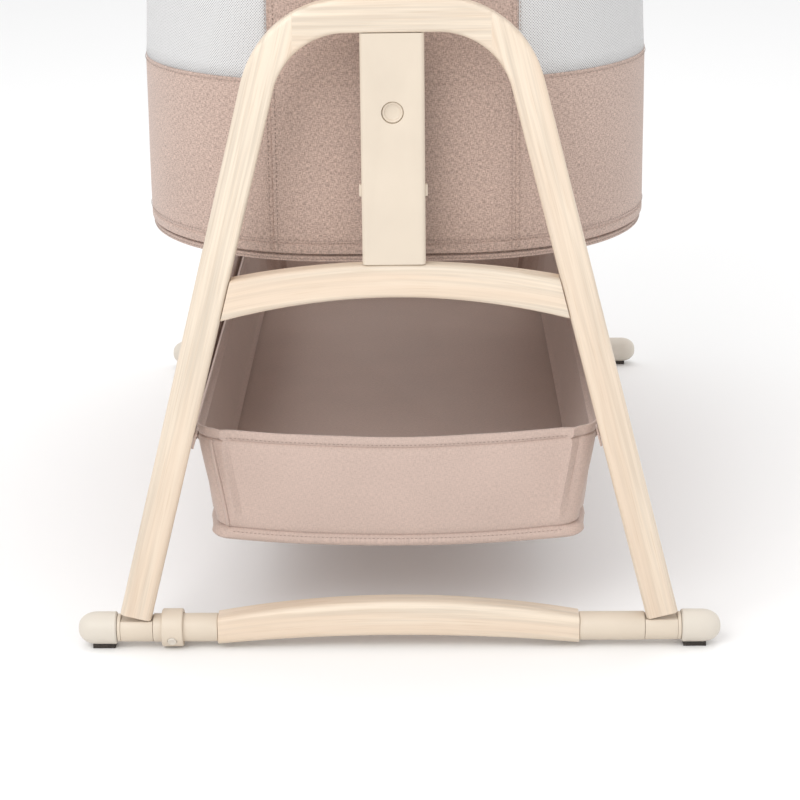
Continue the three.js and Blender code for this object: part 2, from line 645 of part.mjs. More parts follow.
function bassinetCover() {
  let cover = lying(plan(0), BASSINET_BOTTOM, COVER_TOP);
  cover = cover.subtract(lying(plan(FABRIC_WALL), FLOOR_TOP, COVER_TOP + 1));
  for (const side of [-1, 1]) {
    cover = cover.subtract(sideRegion(side, PANEL_HALF, WINDOW_BOTTOM, WINDOW_TOP));
  }
  return piece("bassinet_cover", cover, LINEN);
}

function meshWindow(side) {
  const outer = (FABRIC_WALL - MESH_THICK) / 2;
  const skin = wall(outer, outer + MESH_THICK, WINDOW_BOTTOM + TOUCH, WINDOW_TOP - TOUCH);
  const kept = sideRegion(side, PANEL_HALF + TOUCH, WINDOW_BOTTOM - 1, WINDOW_TOP + 1);
  return piece((side < 0 ? "left" : "right") + "_mesh_window", skin.intersect(kept), WHITE_MESH);
}

// The padded rim cover, an upturned channel over the top hoop.
function rimCover() {
  const outer = wall(-RIM_PROUD, RIM_THICK - RIM_PROUD, RIM_BOTTOM, BASSINET_TOP, RIM_SKIN);
  const start = RIM_SKIN - RIM_PROUD;
  const hollow = wall(start, start + RIM_HOLLOW, RIM_BOTTOM - 1, BASSINET_TOP - RIM_SKIN);
  return piece("rim_cover", outer.subtract(hollow), LINEN);
}

function hoop(name, inset, zLow) {
  const width = RIM_HOLLOW - 2 * TOUCH;
  return piece(name, wall(inset, inset + width, zLow, zLow + TUBE, TUBE_EDGE), WHITE_STEEL);
}

function endBoard(end, side) {
  const skin = wall(BOARD_INSET, BOARD_INSET + END_BOARD, FLOOR_TOP + TOUCH, RIM_HOOP_TOP - TUBE - TOUCH);
  const half = PANEL_HALF - END_BOARD_MARGIN;
  const low = side < 0 ? -BASSINET_LENGTH : 0;
  const kept = block([-half, low, 0], [half, low + BASSINET_LENGTH, BASSINET_TOP]);
  return piece(end + "_end_board", skin.intersect(kept), FIBREBOARD);
}

function baseTrim() {
  const bottom = BASSINET_BOTTOM - TRIM_DROP;
  const web = TRIM_INSET + TRIM_WIDTH / 2;
  const lip = wall(TRIM_INSET, TRIM_INSET + TRIM_WIDTH, bottom, bottom + TRIM_LIP);
  const rise = wall(web, web + TRIM_WIDTH, bottom, BASSINET_BOTTOM - TOUCH);
  return piece("base_trim", lip.add(rise), LINEN);
}

function bassinet() {
  const group = new THREE.Group();
  group.add(bassinetCover());
  group.add(meshWindow(-1), meshWindow(1));
  group.add(rimCover());
  group.add(hoop("top_hoop", RIM_HOOP_INSET, RIM_HOOP_TOP - TUBE));
  group.add(hoop("base_hoop", HOOP_INSET, FLOOR_TOP + TOUCH));
  group.add(endBoard("front", -1), endBoard("rear", 1));
  group.add(baseTrim());
  const board = lying(plan(HOOP_INSET), HOOP_TOP + TOUCH, BASE_TOP);
  group.add(piece("base_board", board, FIBREBOARD));
  const padTop = BASE_TOP + TOUCH + MATTRESS;
  const pad = lying(plan(HOOP_INSET + MATTRESS_PLAY), BASE_TOP + TOUCH, padTop, MATTRESS_EDGE);
  group.add(piece("mattress", pad, WHITE_COTTON));
  return group;
}

// ---- Storage basket -----------------------------------------------------------------------------

// A box that tapers from its top to its bottom.
function taperedBox(topWidth, topLength, bottomWidth, bottomLength, zLow, zHigh) {
  const geometry = new THREE.BoxGeometry(2, 2, 2);
  const at = geometry.attributes.position;
  for (let i = 0; i < at.count; i += 1) {
    const high = at.getZ(i) > 0;
    at.setX(i, (at.getX(i) * (high ? topWidth : bottomWidth)) / 2);
    at.setY(i, (at.getY(i) * (high ? topLength : bottomLength)) / 2);
    at.setZ(i, high ? zHigh : zLow);
  }
  return solid(geometry);
}

function basket() {
  const wallBoth = 2 * BASKET_WALL;
  const floor = BASKET_BOTTOM + BASKET_WALL;
  let bag = taperedBox(
    BASKET_TOP_WIDTH, BASKET_TOP_LENGTH,
    BASKET_BOTTOM_WIDTH, BASKET_BOTTOM_LENGTH, BASKET_BOTTOM, BASKET_TOP,
  );
  const inside = taperedBox(
    BASKET_TOP_WIDTH - wallBoth, BASKET_TOP_LENGTH - wallBoth,
    BASKET_BOTTOM_WIDTH - wallBoth, BASKET_BOTTOM_LENGTH - wallBoth, floor, BASKET_TOP,
  );
  const mouth = taperedBox(
    BASKET_TOP_WIDTH - wallBoth, BASKET_TOP_LENGTH - wallBoth,
    BASKET_TOP_WIDTH - wallBoth, BASKET_TOP_LENGTH - wallBoth, BASKET_TOP - TOUCH, BASKET_TOP + 1,
  );
  const sag = new THREE.Shape();
  const half = BASKET_TOP_WIDTH / 2 - BASKET_WALL;
  sag.moveTo(-half, BASKET_TOP);
  sag.quadraticCurveTo(0, BASKET_TOP - 2 * BASKET_SAG, half, BASKET_TOP);
  sag.lineTo(half, BASKET_TOP + 1);
  sag.lineTo(-half, BASKET_TOP + 1);
  sag.closePath();
  bag = bag.subtract(inside).subtract(mouth);
  bag = bag.subtract(standing(sag, -BASKET_TOP_LENGTH, BASKET_TOP_LENGTH, 0, BOW_STEPS));
  return piece("basket", bag, BASKET_LINEN);
}

function basketBoard() {
  const low = BASKET_BOTTOM + BASKET_WALL + TOUCH;
  const halfWidth = BASKET_BOTTOM_WIDTH / 2 - BASKET_WALL - BASKET_BOARD_PLAY;
  const halfLength = BASKET_BOTTOM_LENGTH / 2 - BASKET_WALL - BASKET_BOARD_PLAY;
  const board = block([-halfWidth, -halfLength, low], [halfWidth, halfLength, low + BASKET_BOARD]);
  return piece("basket_board", board, FIBREBOARD);
}

// A short strap from the basket's corner to the inner face of the leg, leaning with the leg.
function strap(end, side) {
  const geometry = new THREE.BoxGeometry(STRAP_THICK, STRAP_LENGTH, STRAP_HEIGHT);
  geometry.rotateY(-side * LEAN);
  const z = BASKET_TOP - STRAP_HEIGHT / 2;
  const x = legInnerX(z) - (STRAP_THICK / 2 + TOUCH) / Math.cos(LEAN);
  const y = -BASKET_TOP_LENGTH / 2 - TOUCH - STRAP_LENGTH / 2;
  geometry.translate(side * x, y, z);
  return piece(end + (side < 0 ? "_left_strap" : "_right_strap"), solid(geometry), BASKET_LINEN);
}

function sideTube(side) {
  const reach = FRAME_SPACING / 2 - WOOD_DEPTH / 2 - TOUCH;
  const tube = barAlongY(SIDE_TUBE_RADIUS, -reach, reach, side * legX(SIDE_TUBE_Z), SIDE_TUBE_Z);
  return piece((side < 0 ? "left" : "right") + "_side_tube", tube, WHITE_STEEL);
}

// ---- Assembly -----------------------------------------------------------------------------------

function endAssembly(end) {
  const group = new THREE.Group();
  const well = buttonWell();
  group.add(arch(end), crossBar(end));
  group.add(railBar(end), lockRing(end, well), ringButton(end));
  group.add(columnShell(end), columnBack(end));
  group.add(heightButton(end), releaseBar(end));
  group.add(carriage(end), bracket(end), pivotPin(end));
  for (const side of [-1, 1]) {
    group.add(sleeve(end, side, well), collar(end, side), cap(end, side), footPad(end, side));
    group.add(strap(end, side));
  }
  return group;
}

const object = new THREE.Group();
const rearEnd = endAssembly("rear");
rearEnd.rotation.z = Math.PI;
object.add(endAssembly("front"), rearEnd);
object.add(bassinet());
object.add(basket(), basketBoard());
object.add(sideTube(-1), sideTube(1));

export default object;
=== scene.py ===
"""A fabric bassinet held between two bent-wood end frames on turning foot rails, with a storage basket."""

import math

import bmesh
import bpy
from bpy.props import FloatProperty, FloatVectorProperty, PointerProperty
from mathutils import Matrix, Vector, noise


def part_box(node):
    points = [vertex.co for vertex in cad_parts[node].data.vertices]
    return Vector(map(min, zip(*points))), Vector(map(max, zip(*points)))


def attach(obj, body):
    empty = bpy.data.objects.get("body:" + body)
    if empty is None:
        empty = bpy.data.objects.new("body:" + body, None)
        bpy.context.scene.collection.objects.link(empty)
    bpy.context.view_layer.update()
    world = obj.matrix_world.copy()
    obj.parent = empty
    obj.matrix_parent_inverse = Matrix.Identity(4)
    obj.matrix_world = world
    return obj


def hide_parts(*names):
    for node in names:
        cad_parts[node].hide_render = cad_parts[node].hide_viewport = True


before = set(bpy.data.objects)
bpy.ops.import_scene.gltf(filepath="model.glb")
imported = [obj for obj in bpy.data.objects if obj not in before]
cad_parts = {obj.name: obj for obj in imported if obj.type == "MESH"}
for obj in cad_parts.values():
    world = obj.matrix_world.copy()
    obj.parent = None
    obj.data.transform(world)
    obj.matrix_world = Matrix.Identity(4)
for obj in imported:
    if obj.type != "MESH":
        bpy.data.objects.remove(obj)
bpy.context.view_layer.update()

bl_info = {
    "name": "Bassinet on stand",
    "version": (1, 0, 0),
    "blender": (4, 5, 0),
    "location": "View3D > Sidebar > Bassinet",
    "description": "Builds the finished surfaces of a bassinet on a wooden stand around its frame",
    "category": "Object",
}

MM = 0.001
TOUCH = 0.3 * MM
ENDS = ("front", "rear")
SIDES = (-1, 1)
SIDE_NAMES = {-1: "left", 1: "right"}

# ---- Places read from the frame ------------------------------------------------------------------

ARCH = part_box("front_arch")
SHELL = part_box("front_column_shell")
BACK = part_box("front_column_back")
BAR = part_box("front_rail_bar")
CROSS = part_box("front_cross_bar")
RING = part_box("front_lock_ring")
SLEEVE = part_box("front_right_sleeve")
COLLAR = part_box("front_right_collar")
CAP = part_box("front_right_cap")
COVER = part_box("bassinet_cover")
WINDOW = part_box("right_mesh_window")
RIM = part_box("rim_cover")
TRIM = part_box("base_trim")
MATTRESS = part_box("mattress")
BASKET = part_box("basket")
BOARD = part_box("basket_board")
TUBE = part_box("right_side_tube")

FRAME_Y = (ARCH[0].y + ARCH[1].y) / 2
WOOD_WIDTH = ARCH[1].z - SHELL[1].z - TOUCH
WOOD_DEPTH = ARCH[1].y - ARCH[0].y
AXIS_Z = (RING[0].z + RING[1].z) / 2
RAIL_AXIS = Vector((0, FRAME_Y, AXIS_Z))
SLEEVE_RADIUS = (SLEEVE[1].z - SLEEVE[0].z) / 2
RING_RADIUS = (RING[1].z - RING[0].z) / 2
AXLE_RADIUS = 8 * MM
AXLE_BORE = AXLE_RADIUS + TOUCH


def measure(name, text, value):
    return FloatProperty(name=name, description=text, unit="LENGTH", default=value)


def colour(name, text, value):
    return FloatVectorProperty(
        name=name, description=text, subtype="COLOR", size=3, min=0, max=1, default=value
    )


class FrameSizes(bpy.types.PropertyGroup):
    """Sizes of the wooden frame and its fittings."""

    lean: FloatProperty(
        name="Leg lean", description="Lean of the legs from upright", subtype="ANGLE",
        default=math.radians(14.3),
    )
    shoulder: measure("Shoulder radius", "Bend at the middle of the wood", 0.077)
    wood_edge: measure("Wood edge", "Rounding of the wood's long edges", 0.0045)
    cross_rise: measure("Cross bar rise", "Rise of the cross bar's upper face", 0.013)
    cross_thick: measure("Cross bar height", "Height of the cross bar at mid span", 0.029)
    bar_rise: measure("Rail rise", "Rise of the foot rail's upper face", 0.0145)
    bar_hollow: measure("Rail hollow", "Rise of the foot rail's lower face", 0.0077)
    seat: measure("Collar seat", "Height of the collar's flat seat above the axle", 0.009)
    dome: measure("Cap dome", "Length of the cap's rounded end", 0.017)
    wall: measure("Column wall", "Thickness of the column's wall", 0.003)
    corner: measure("Column corner", "Rounding of the column's front edges", 0.004)


class SoftSizes(bpy.types.PropertyGroup):
    """Sizes of the fabric bassinet and the basket."""

    corner: measure("Bassinet corner", "Radius of the bassinet's plan corners", 0.18)
    panel: measure("End panel", "Half width of the closed end panel", 0.105)
    band: measure("Lower band", "Height of the closed fabric below the windows", 0.152)
    head: measure("Upper band", "Closed fabric between window and rim top", 0.055)
    cloth: measure("Cover cloth", "Thickness of the padded cover cloth", 0.0026)
    hem: measure("Cover hem", "Height of the cover's hem seam", 0.009)
    basket_corner: measure("Basket corner", "Radius of the basket's upright corners", 0.016)
    basket_sag: measure("Basket sag", "Sag of the end walls' upper hem", 0.011)
    basket_belly: measure("Basket belly", "Sag of the basket's floor at its middle", 0.009)
    stitch: measure("Stitch", "Length of one stitch", 0.0026)


class Finishes(bpy.types.PropertyGroup):
    """Colours of the finishes."""

    wood: colour("Wood", "Pale wood between the grain lines", (0.70, 0.60, 0.486))
    grain: colour("Grain", "Darker grain lines of the wood", (0.56, 0.41, 0.27))
    blush: colour("Blush", "Warmer streaks of the wood", (0.69, 0.54, 0.41))
    cream: colour("Cream plastic", "Column, sleeves and collars", (0.65, 0.56, 0.455))
    cap: colour("Cap plastic", "Caps and ring buttons", (0.635, 0.58, 0.505))
    linen: colour("Linen", "Bassinet cover cloth", (0.48, 0.355, 0.30))
    basket: colour("Basket linen", "Basket cloth", (0.53, 0.405, 0.35))
    mesh: colour("Mesh", "Knitted window mesh", (0.64, 0.635, 0.635))
    cotton: colour("Cotton", "Mattress cotton", (0.85, 0.83, 0.79))
    rubber: colour("Rubber", "Foot pads", (0.025, 0.02, 0.017))
    steel: colour("Steel", "Bare steel pins and bars", (0.56, 0.56, 0.56))
    lacquer: colour("White lacquer", "Painted steel hoops, tubes and hangers", (0.80, 0.80, 0.80))
    board: colour("Fibreboard", "Base board", (0.44, 0.31, 0.20))
    fibre: colour("Dark fibres", "Dark fibres of the base board", (0.30, 0.20, 0.12))
    floor: colour("Floor", "Studio floor", (0.90, 0.90, 0.90))


# ---- Node helpers --------------------------------------------------------------------------------


class Graph:
    """A material's nodes, made one after another."""

    def __init__(self, name, rough, metal=0.0, sheen=0.0):
        self.material = bpy.data.materials.new(name)
        self.material.use_nodes = True
        self.tree = self.material.node_tree
        self.shader = self.tree.nodes["Principled BSDF"]
        self.shader.inputs["Roughness"].default_value = rough
        self.shader.inputs["Metallic"].default_value = metal
        self.shader.inputs["Sheen Weight"].default_value = sheen

    def add(self, kind, **inputs):
        node = self.tree.nodes.new(kind)
        for key, value in inputs.items():
            self.put(node, key.replace("_", " "), value)
        return node

    def put(self, node, key, value):
        socket = node.inputs[int(key)] if key.isdigit() else node.inputs[key]
        if isinstance(value, bpy.types.NodeSocket):
            self.tree.links.new(value, socket)
        else:
            socket.default_value = value

    def place(self, attribute=None, scale=(1, 1, 1)):
        """Coordinates from the piece's own attribute, or its Object coordinates, stretched by a scale."""
        if attribute:
            source = self.add("ShaderNodeAttribute")
            source.attribute_name = attribute
            out = source.outputs["Vector"]
        else:
            out = self.add("ShaderNodeTexCoord").outputs["Object"]
        return self.add("ShaderNodeMapping", Vector=out, Scale=scale).outputs["Vector"]

    def noise(self, vector, scale, detail=2.0, rough=0.5):
        node = self.add("ShaderNodeTexNoise", Vector=vector, Scale=scale, Detail=detail, Roughness=rough)
        return node.outputs["Fac"]

    def wave(self, vector, scale, direction="X", distortion=0.0):
        node = self.add("ShaderNodeTexWave", Vector=vector, Scale=scale, Distortion=distortion)
        node.bands_direction = direction
        return node.outputs["Fac"]

    def math(self, operation, first, second=0.0):
        node = self.add("ShaderNodeMath")
        node.operation = operation
        self.put(node, "0", first)
        self.put(node, "1", second)
        return node.outputs[0]

    def ramp(self, factor, *stops):
        node = self.add("ShaderNodeValToRGB", Fac=factor)
        ramp = node.color_ramp
        for index, (at, tone) in enumerate(stops):
            stop = ramp.elements[index] if index < 2 else ramp.elements.new(at)
            stop.position = at
            stop.color = (*tone, 1) if hasattr(tone, "__len__") else (tone, tone, tone, 1)
        return node.outputs["Color"]

    def mix(self, factor, first, second, blend="MIX"):
        node = self.add("ShaderNodeMix")
        node.data_type = "RGBA"
        node.blend_type = blend
        for socket, value in zip((node.inputs[0], node.inputs[6], node.inputs[7]), (factor, first, second)):
            if isinstance(value, bpy.types.NodeSocket):
                self.tree.links.new(value, socket)
            else:
                socket.default_value = (*value, 1) if hasattr(value, "__len__") else value
        return node.outputs[2]

    def bump(self, height, distance, strength=1.0, below=None):
        node = self.add("ShaderNodeBump", Height=height, Distance=distance, Strength=strength)
        if below is not None:
            self.put(node, "Normal", below)
        return node.outputs["Normal"]

    def done(self, base, rough=None, normal=None, alpha=None):
        self.put(self.shader, "Base Color", base)
        for key, value in (("Roughness", rough), ("Normal", normal), ("Alpha", alpha)):
            if value is not None:
                self.put(self.shader, key, value)
        return self.material


def shade(tone, factor):
    return tuple(min(1.0, value * factor) for value in tone)


MATERIALS = {}


def material(name):
    """The named finish, made the first time that it is asked for."""
    if name not in MATERIALS:
        MATERIALS[name] = MAKERS[name](bpy.context.scene.bassinet_finishes)
    return MATERIALS[name]


def pale_wood(tones):
    g = Graph("pale_wood", 0.5)
    g.shader.inputs["Coat Weight"].default_value = 0.08
    g.shader.inputs["Coat Roughness"].default_value = 0.45
    streaks = g.noise(g.place("grain", (5, 230, 160)), 1.0, 3.0, 0.6)
    blush = g.noise(g.place("grain", (3, 55, 40)), 1.0, 2.0)
    pores = g.noise(g.place("grain", (22, 1300, 700)), 1.0, 2.0, 0.6)
    tone = g.ramp(streaks, (0.36, shade(tones.wood, 0.86)), (0.60, shade(tones.wood, 1.09)))
    tone = g.mix(g.ramp(blush, (0.40, 0.0), (0.62, 0.62)), tone, tuple(tones.blush))
    tone = g.mix(g.ramp(pores, (0.54, 0.0), (0.72, 0.36)), tone, tuple(tones.grain))
    rough = g.ramp(pores, (0.35, 0.44), (0.75, 0.62))
    return g.done(tone, rough, g.bump(pores, 0.00012, 0.6))


def moulded(name, tone, rough=0.42):
    g = Graph(name, rough)
    grain = g.noise(g.place(None, (1800, 1800, 1800)), 1.0, 1.0)
    broad = g.noise(g.place(None, (25, 25, 25)), 1.0, 2.0)
    base = g.ramp(broad, (0.3, shade(tone, 0.975)), (0.7, shade(tone, 1.02)))
    return g.done(base, g.ramp(grain, (0.3, rough - 0.05), (0.7, rough + 0.07)), g.bump(grain, 0.00005, 0.4))


def cream_plastic(tones):
    return moulded("cream_plastic", tones.cream)


def cap_plastic(tones):
    return moulded("cap_plastic", tones.cap, 0.46)


def rubber(tones):
    g = Graph("foot_rubber", 0.8)
    ribs = g.wave(g.place(None, (1000, 1000, 1000)), 0.11, "X")
    specks = g.noise(g.place(None, (900, 900, 900)), 1.0)
    base = g.ramp(specks, (0.3, tuple(tones.rubber)), (0.7, shade(tones.rubber, 2.2)))
    return g.done(base, None, g.bump(ribs, 0.0004, 0.6, g.bump(specks, 0.0001, 0.5)))


def steel(tones):
    g = Graph("bare_steel", 0.32, 1.0)
    brushed = g.noise(g.place(None, (900, 60, 60)), 1.0, 2.0)
    base = g.ramp(brushed, (0.3, shade(tones.steel, 0.75)), (0.7, tuple(tones.steel)))
    return g.done(base, g.ramp(brushed, (0.3, 0.26), (0.7, 0.42)))


def white_steel(tones):
    g = Graph("white_lacquered_steel", 0.35)
    peel = g.noise(g.place(None, (420, 420, 420)), 1.0, 1.0)
    specks = g.noise(g.place(None, (60, 60, 60)), 1.0)
    base = g.ramp(specks, (0.3, shade(tones.lacquer, 0.95)), (0.7, tuple(tones.lacquer)))
    return g.done(base, g.ramp(peel, (0.3, 0.32), (0.7, 0.42)), g.bump(peel, 0.00006))


def melange(name, tone, contrast=1.0):
    """Plain-woven melange cloth: slubs along warp and weft, over and under threads, and fine fuzz."""
    g = Graph(name, 0.92, 0.0, 0.22)
    g.shader.inputs["Sheen Roughness"].default_value = 0.6
    g.shader.inputs["Specular IOR Level"].default_value = 0.25
    warp = g.noise(g.place("weave", (1600, 290, 0)), 1.0, 2.0, 0.6)
    weft = g.noise(g.place("weave", (290, 1600, 0)), 1.0, 2.0, 0.6)
    threads = g.place("weave", (1000, 1000, 0))
    over = g.math("MULTIPLY", g.wave(threads, 0.45, "X"), g.wave(threads, 0.45, "Y"))
    slubs = g.math("MULTIPLY", g.math("ADD", warp, weft), 0.5)
    low, high = 1 - 0.36 * contrast, 1 + 0.30 * contrast
    base = g.ramp(slubs, (0.41, shade(tone, low)), (0.50, tuple(tone)), (0.59, shade(tone, high)))
    cloud = g.noise(g.place("weave", (14, 14, 0)), 1.0, 3.0)
    base = g.mix(1.0, base, g.ramp(cloud, (0.3, 0.94), (0.7, 1.0)), "MULTIPLY")
    normal = g.bump(over, 0.00012, 0.4, g.bump(slubs, 0.00016, 0.5))
    return g.done(base, g.ramp(slubs, (0.3, 0.84), (0.7, 0.98)), normal)


def linen(tones):
    return melange("melange_linen", tones.linen)


def basket_linen(tones):
    return melange("melange_basket_linen", tones.basket, 0.3)


def thread_and_seam_shade(tones):
    g = Graph("sewing_thread_and_painted_seam_shade", 0.7, 0.0, 0.2)
    twist = g.wave(g.place(None, (1000, 1000, 1000)), 0.7, "DIAGONAL")
    # Painted shade: real thread, darkened to between half and four fifths of the linen so that the stitch
    # rows also carry the shade of the seam lines.
    base = g.ramp(twist, (0.2, shade(tones.linen, 0.50)), (0.8, shade(tones.linen, 0.80)))
    return g.done(base, None, g.bump(twist, 0.0001))


def white_mesh(tones):
    """Warp-knitted mesh: small diamond eyelets between crossing white threads, the eyelets painted dark as
    painted shade of the inside seen through them.
    """
    g = Graph("knitted_mesh", 0.75, 0.0, 0.1)
    rising = g.wave(g.place("weave", (1000, 1000, 0)), 0.25, "DIAGONAL")
    falling = g.wave(g.place("weave", (1000, -1000, 0)), 0.25, "DIAGONAL")
    knit = g.math("MAXIMUM", rising, falling)
    strands = g.noise(g.place("weave", (2200, 2200, 0)), 1.0, 2.0)
    # Painted shade: the eyelets are coloured at less than half the mesh's white, for the shaded inside seen
    # through them.
    base = g.ramp(knit, (0.12, shade(tones.mesh, 0.45)), (0.60, tuple(tones.mesh)))
    alpha = g.ramp(knit, (0.12, 0.55), (0.45, 1.0))
    return g.done(base, None, g.bump(knit, 0.00025, 0.6, g.bump(strands, 0.0001, 0.4)), alpha)


def white_cotton(tones):
    g = Graph("quilted_cotton", 0.9, 0.0, 0.15)
    threads = g.place(None, (1000, 1000, 1000))
    over = g.math("MULTIPLY", g.wave(threads, 0.4, "X"), g.wave(threads, 0.4, "Y"))
    quilt = g.add("ShaderNodeTexWave", Vector=g.place(None, (1, 1, 0)), Scale=4.2)
    quilt.bands_direction = "DIAGONAL"
    other = g.add("ShaderNodeTexWave", Vector=g.place(None, (1, -1, 0)), Scale=4.2)
    other.bands_direction = "DIAGONAL"
    rows = g.math("MINIMUM", g.ramp(quilt.outputs["Fac"], (0.0, 0.0), (0.10, 1.0)),
                  g.ramp(other.outputs["Fac"], (0.0, 0.0), (0.10, 1.0)))
    # Painted shade: the cotton is darkened to 0.86 along the quilting lines, in the grooves that the bump
    # below sinks there.
    base = g.mix(1.0, tuple(tones.cotton), g.ramp(rows, (0.0, 0.86), (0.6, 1.0)), "MULTIPLY")
    return g.done(base, None, g.bump(rows, 0.0022, 0.8, g.bump(over, 0.0001, 0.4)))


def fibreboard(tones):
    g = Graph("pressed_fibreboard", 0.85)
    fibres = g.noise(g.place(None, (300, 120, 300)), 1.0, 4.0, 0.7)
    base = g.ramp(fibres, (0.3, tuple(tones.fibre)), (0.7, tuple(tones.board)))
    return g.done(base, None, g.bump(fibres, 0.0002))


MAKERS = {
    maker.__name__: maker
    for maker in (
        pale_wood, cream_plastic, cap_plastic, rubber, steel, white_steel, linen, basket_linen, thread_and_seam_shade,
        white_mesh, white_cotton, fibreboard,
    )
}

# ---- Mesh helpers --------------------------------------------------------------------------------


def picked(made, kind):
    return [item for item in made if isinstance(item, kind)]


def piece(name, bm, finish, body, replaces=(), angle=35):
    """The bmesh as a finished object that rides on a body and stands for CAD nodes."""
    mesh = bpy.data.meshes.new(name)
    bm.to_mesh(mesh)
    bm.free()
    mesh.polygons.foreach_set("use_smooth", [True] * len(mesh.polygons))
    mesh.set_sharp_from_angle(angle=math.radians(angle))
    mesh.materials.append(material(finish))
    made = bpy.data.objects.new(name, mesh)
    bpy.context.scene.collection.objects.link(made)
    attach(made, body)
    if replaces:
        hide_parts(*replaces)
    return made


def cloth_wall(made, thickness, offset=-1.0):
    """Gives a fabric surface its thickness."""
    wall = made.modifiers.new("Thickness", "SOLIDIFY")
    wall.thickness = thickness
    wall.offset = offset
    wall.use_even_offset = True
    return made


def turn_end(bm, end):
    """Turns a front-end piece half round for the rear end."""
    if end == "rear":
        bmesh.ops.rotate(bm, cent=(0, 0, 0), matrix=Matrix.Rotation(math.pi, 3, "Z"), verts=bm.verts)


def mirror_side(bm, side):
    """Mirrors a right-hand piece for the left."""
    if side < 0:
        bmesh.ops.scale(bm, vec=(-1, 1, 1), verts=bm.verts)
        bmesh.ops.reverse_faces(bm, faces=bm.faces)


def soften(bm, width, segments=3, angle=30, keep=None):
    """Rounds the edges that are sharper than an angle."""
    limit = math.radians(angle)
    bmesh.ops.remove_doubles(bm, verts=bm.verts, dist=1e-6)
    sharp = [e for e in bm.edges if len(e.link_faces) == 2 and e.calc_face_angle(0) > limit]
    if keep:
        sharp = [e for e in sharp if keep(e)]
    bmesh.ops.bevel(
        bm, geom=sharp, offset=width, offset_type="OFFSET", segments=segments, profile=0.5,
        affect="EDGES", clamp_overlap=True, material=-1,
    )


def coordinates(bm, name, where):
    """Stores a pattern coordinate on every vertex."""
    layer = bm.verts.layers.float_vector.get(name) or bm.verts.layers.float_vector.new(name)
    for vert in bm.verts:
        vert[layer] = where(vert.co)


def section(bm, width, depth, edge, segments=6):
    """A flat rectangle with round corners, in the XY plane."""
    made = bmesh.ops.create_grid(bm, x_segments=1, y_segments=1, size=0.5)
    bmesh.ops.scale(bm, vec=(width, depth, 1), verts=made["verts"])
    bmesh.ops.bevel(
        bm, geom=made["verts"], offset=edge, offset_type="OFFSET", segments=segments, profile=0.5,
        affect="VERTICES", material=-1,
    )
    return bm.faces[:][-1] if len(bm.faces) > 1 else next(iter(bm.faces))


def pull(bm, face, move):
    """Extrudes a face by a move and gives the new end face."""
    made = bmesh.ops.extrude_face_region(bm, geom=[face])["geom"]
    bmesh.ops.translate(bm, vec=move, verts=picked(made, bmesh.types.BMVert))
    return picked(made, bmesh.types.BMFace)[0]


def bend(bm, face, centre, angle, steps):
    """Sweeps a face round a centre, about the Y axis."""
    made = bmesh.ops.spin(
        bm, geom=[face, *face.edges, *face.verts], cent=centre, axis=(0, 1, 0), angle=angle, steps=steps,
        use_merge=False, use_duplicate=False,
    )["geom_last"]
    return picked(made, bmesh.types.BMFace)[0]


def turned(bm, profile, place=Matrix.Identity(4), segments=48):
    """Turns a profile of (radius, height) about the local Z axis, then places it."""
    verts = [bm.verts.new((radius, 0, height)) for radius, height in profile]
    edges = [bm.edges.new(pair) for pair in zip(verts, verts[1:])]
    before = set(bm.verts) - set(verts)
    bmesh.ops.spin(
        bm, geom=verts + edges, cent=(0, 0, 0), axis=(0, 0, 1), angle=2 * math.pi, steps=segments,
        use_merge=True,
    )
    new = [v for v in bm.verts if v not in before]
    bmesh.ops.remove_doubles(bm, verts=new, dist=1e-6)
    new = [v for v in bm.verts if v not in before]
    faces = list({f for v in new for f in v.link_faces})
    bmesh.ops.recalc_face_normals(bm, faces=faces)
    bmesh.ops.transform(bm, matrix=place, verts=new)
    return new


def tube(bm, inner, outer, start, width, segments=48):
    """A tube round the rail's axis."""
    profile = [(inner, 0), (outer, 0), (outer, width), (inner, width), (inner, 0)]
    return turned(bm, profile, along_x(start), segments)


def along_x(start=0.0):
    """Places a turned profile on the rail's axis, its height along +X from a start."""
    return Matrix.Translation(RAIL_AXIS + Vector((start, 0, 0))) @ Matrix.Rotation(math.pi / 2, 4, "Y")


def copy_of(node):
    """A merged copy of a CAD node's mesh, its flat faces made whole."""
    bm = bmesh.new()
    bm.from_mesh(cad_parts[node].data)
    bmesh.ops.remove_doubles(bm, verts=bm.verts, dist=1e-6)
    bmesh.ops.dissolve_limit(bm, angle_limit=math.radians(1), verts=bm.verts, edges=bm.edges)
    return bm


def block(bm, low, high):
    """A box between two corners."""
    low, high = Vector(low), Vector(high)
    made = bmesh.ops.create_cube(bm, size=1)["verts"]
    bmesh.ops.scale(bm, vec=high - low, verts=made)
    bmesh.ops.translate(bm, vec=(low + high) / 2, verts=made)
    return made


def stitches(bm, points, normals, length, width=0.0007, gap=0.45):
    """A row of sewn stitches along a line of points."""
    reach = 0.0
    step = length * (1 + gap)
    for start, end, out in zip(points, points[1:], normals):
        span = (end - start).length
        if span < 1e-9:
            continue
        line = (end - start) / span
        side = out.cross(line).normalized()
        turn = Matrix((line, side, out)).transposed().to_4x4()
        at = (step - reach) % step
        while at < span:
            made = bmesh.ops.create_icosphere(bm, subdivisions=1, radius=0.5)["verts"]
            place = Matrix.Translation(start + line * at) @ turn
            bmesh.ops.transform(bm, matrix=place @ Matrix.Diagonal((length, width, width, 1)), verts=made)
            at += step
        reach = (reach + span) % step


# ---- Wooden frames -------------------------------------------------------------------------------


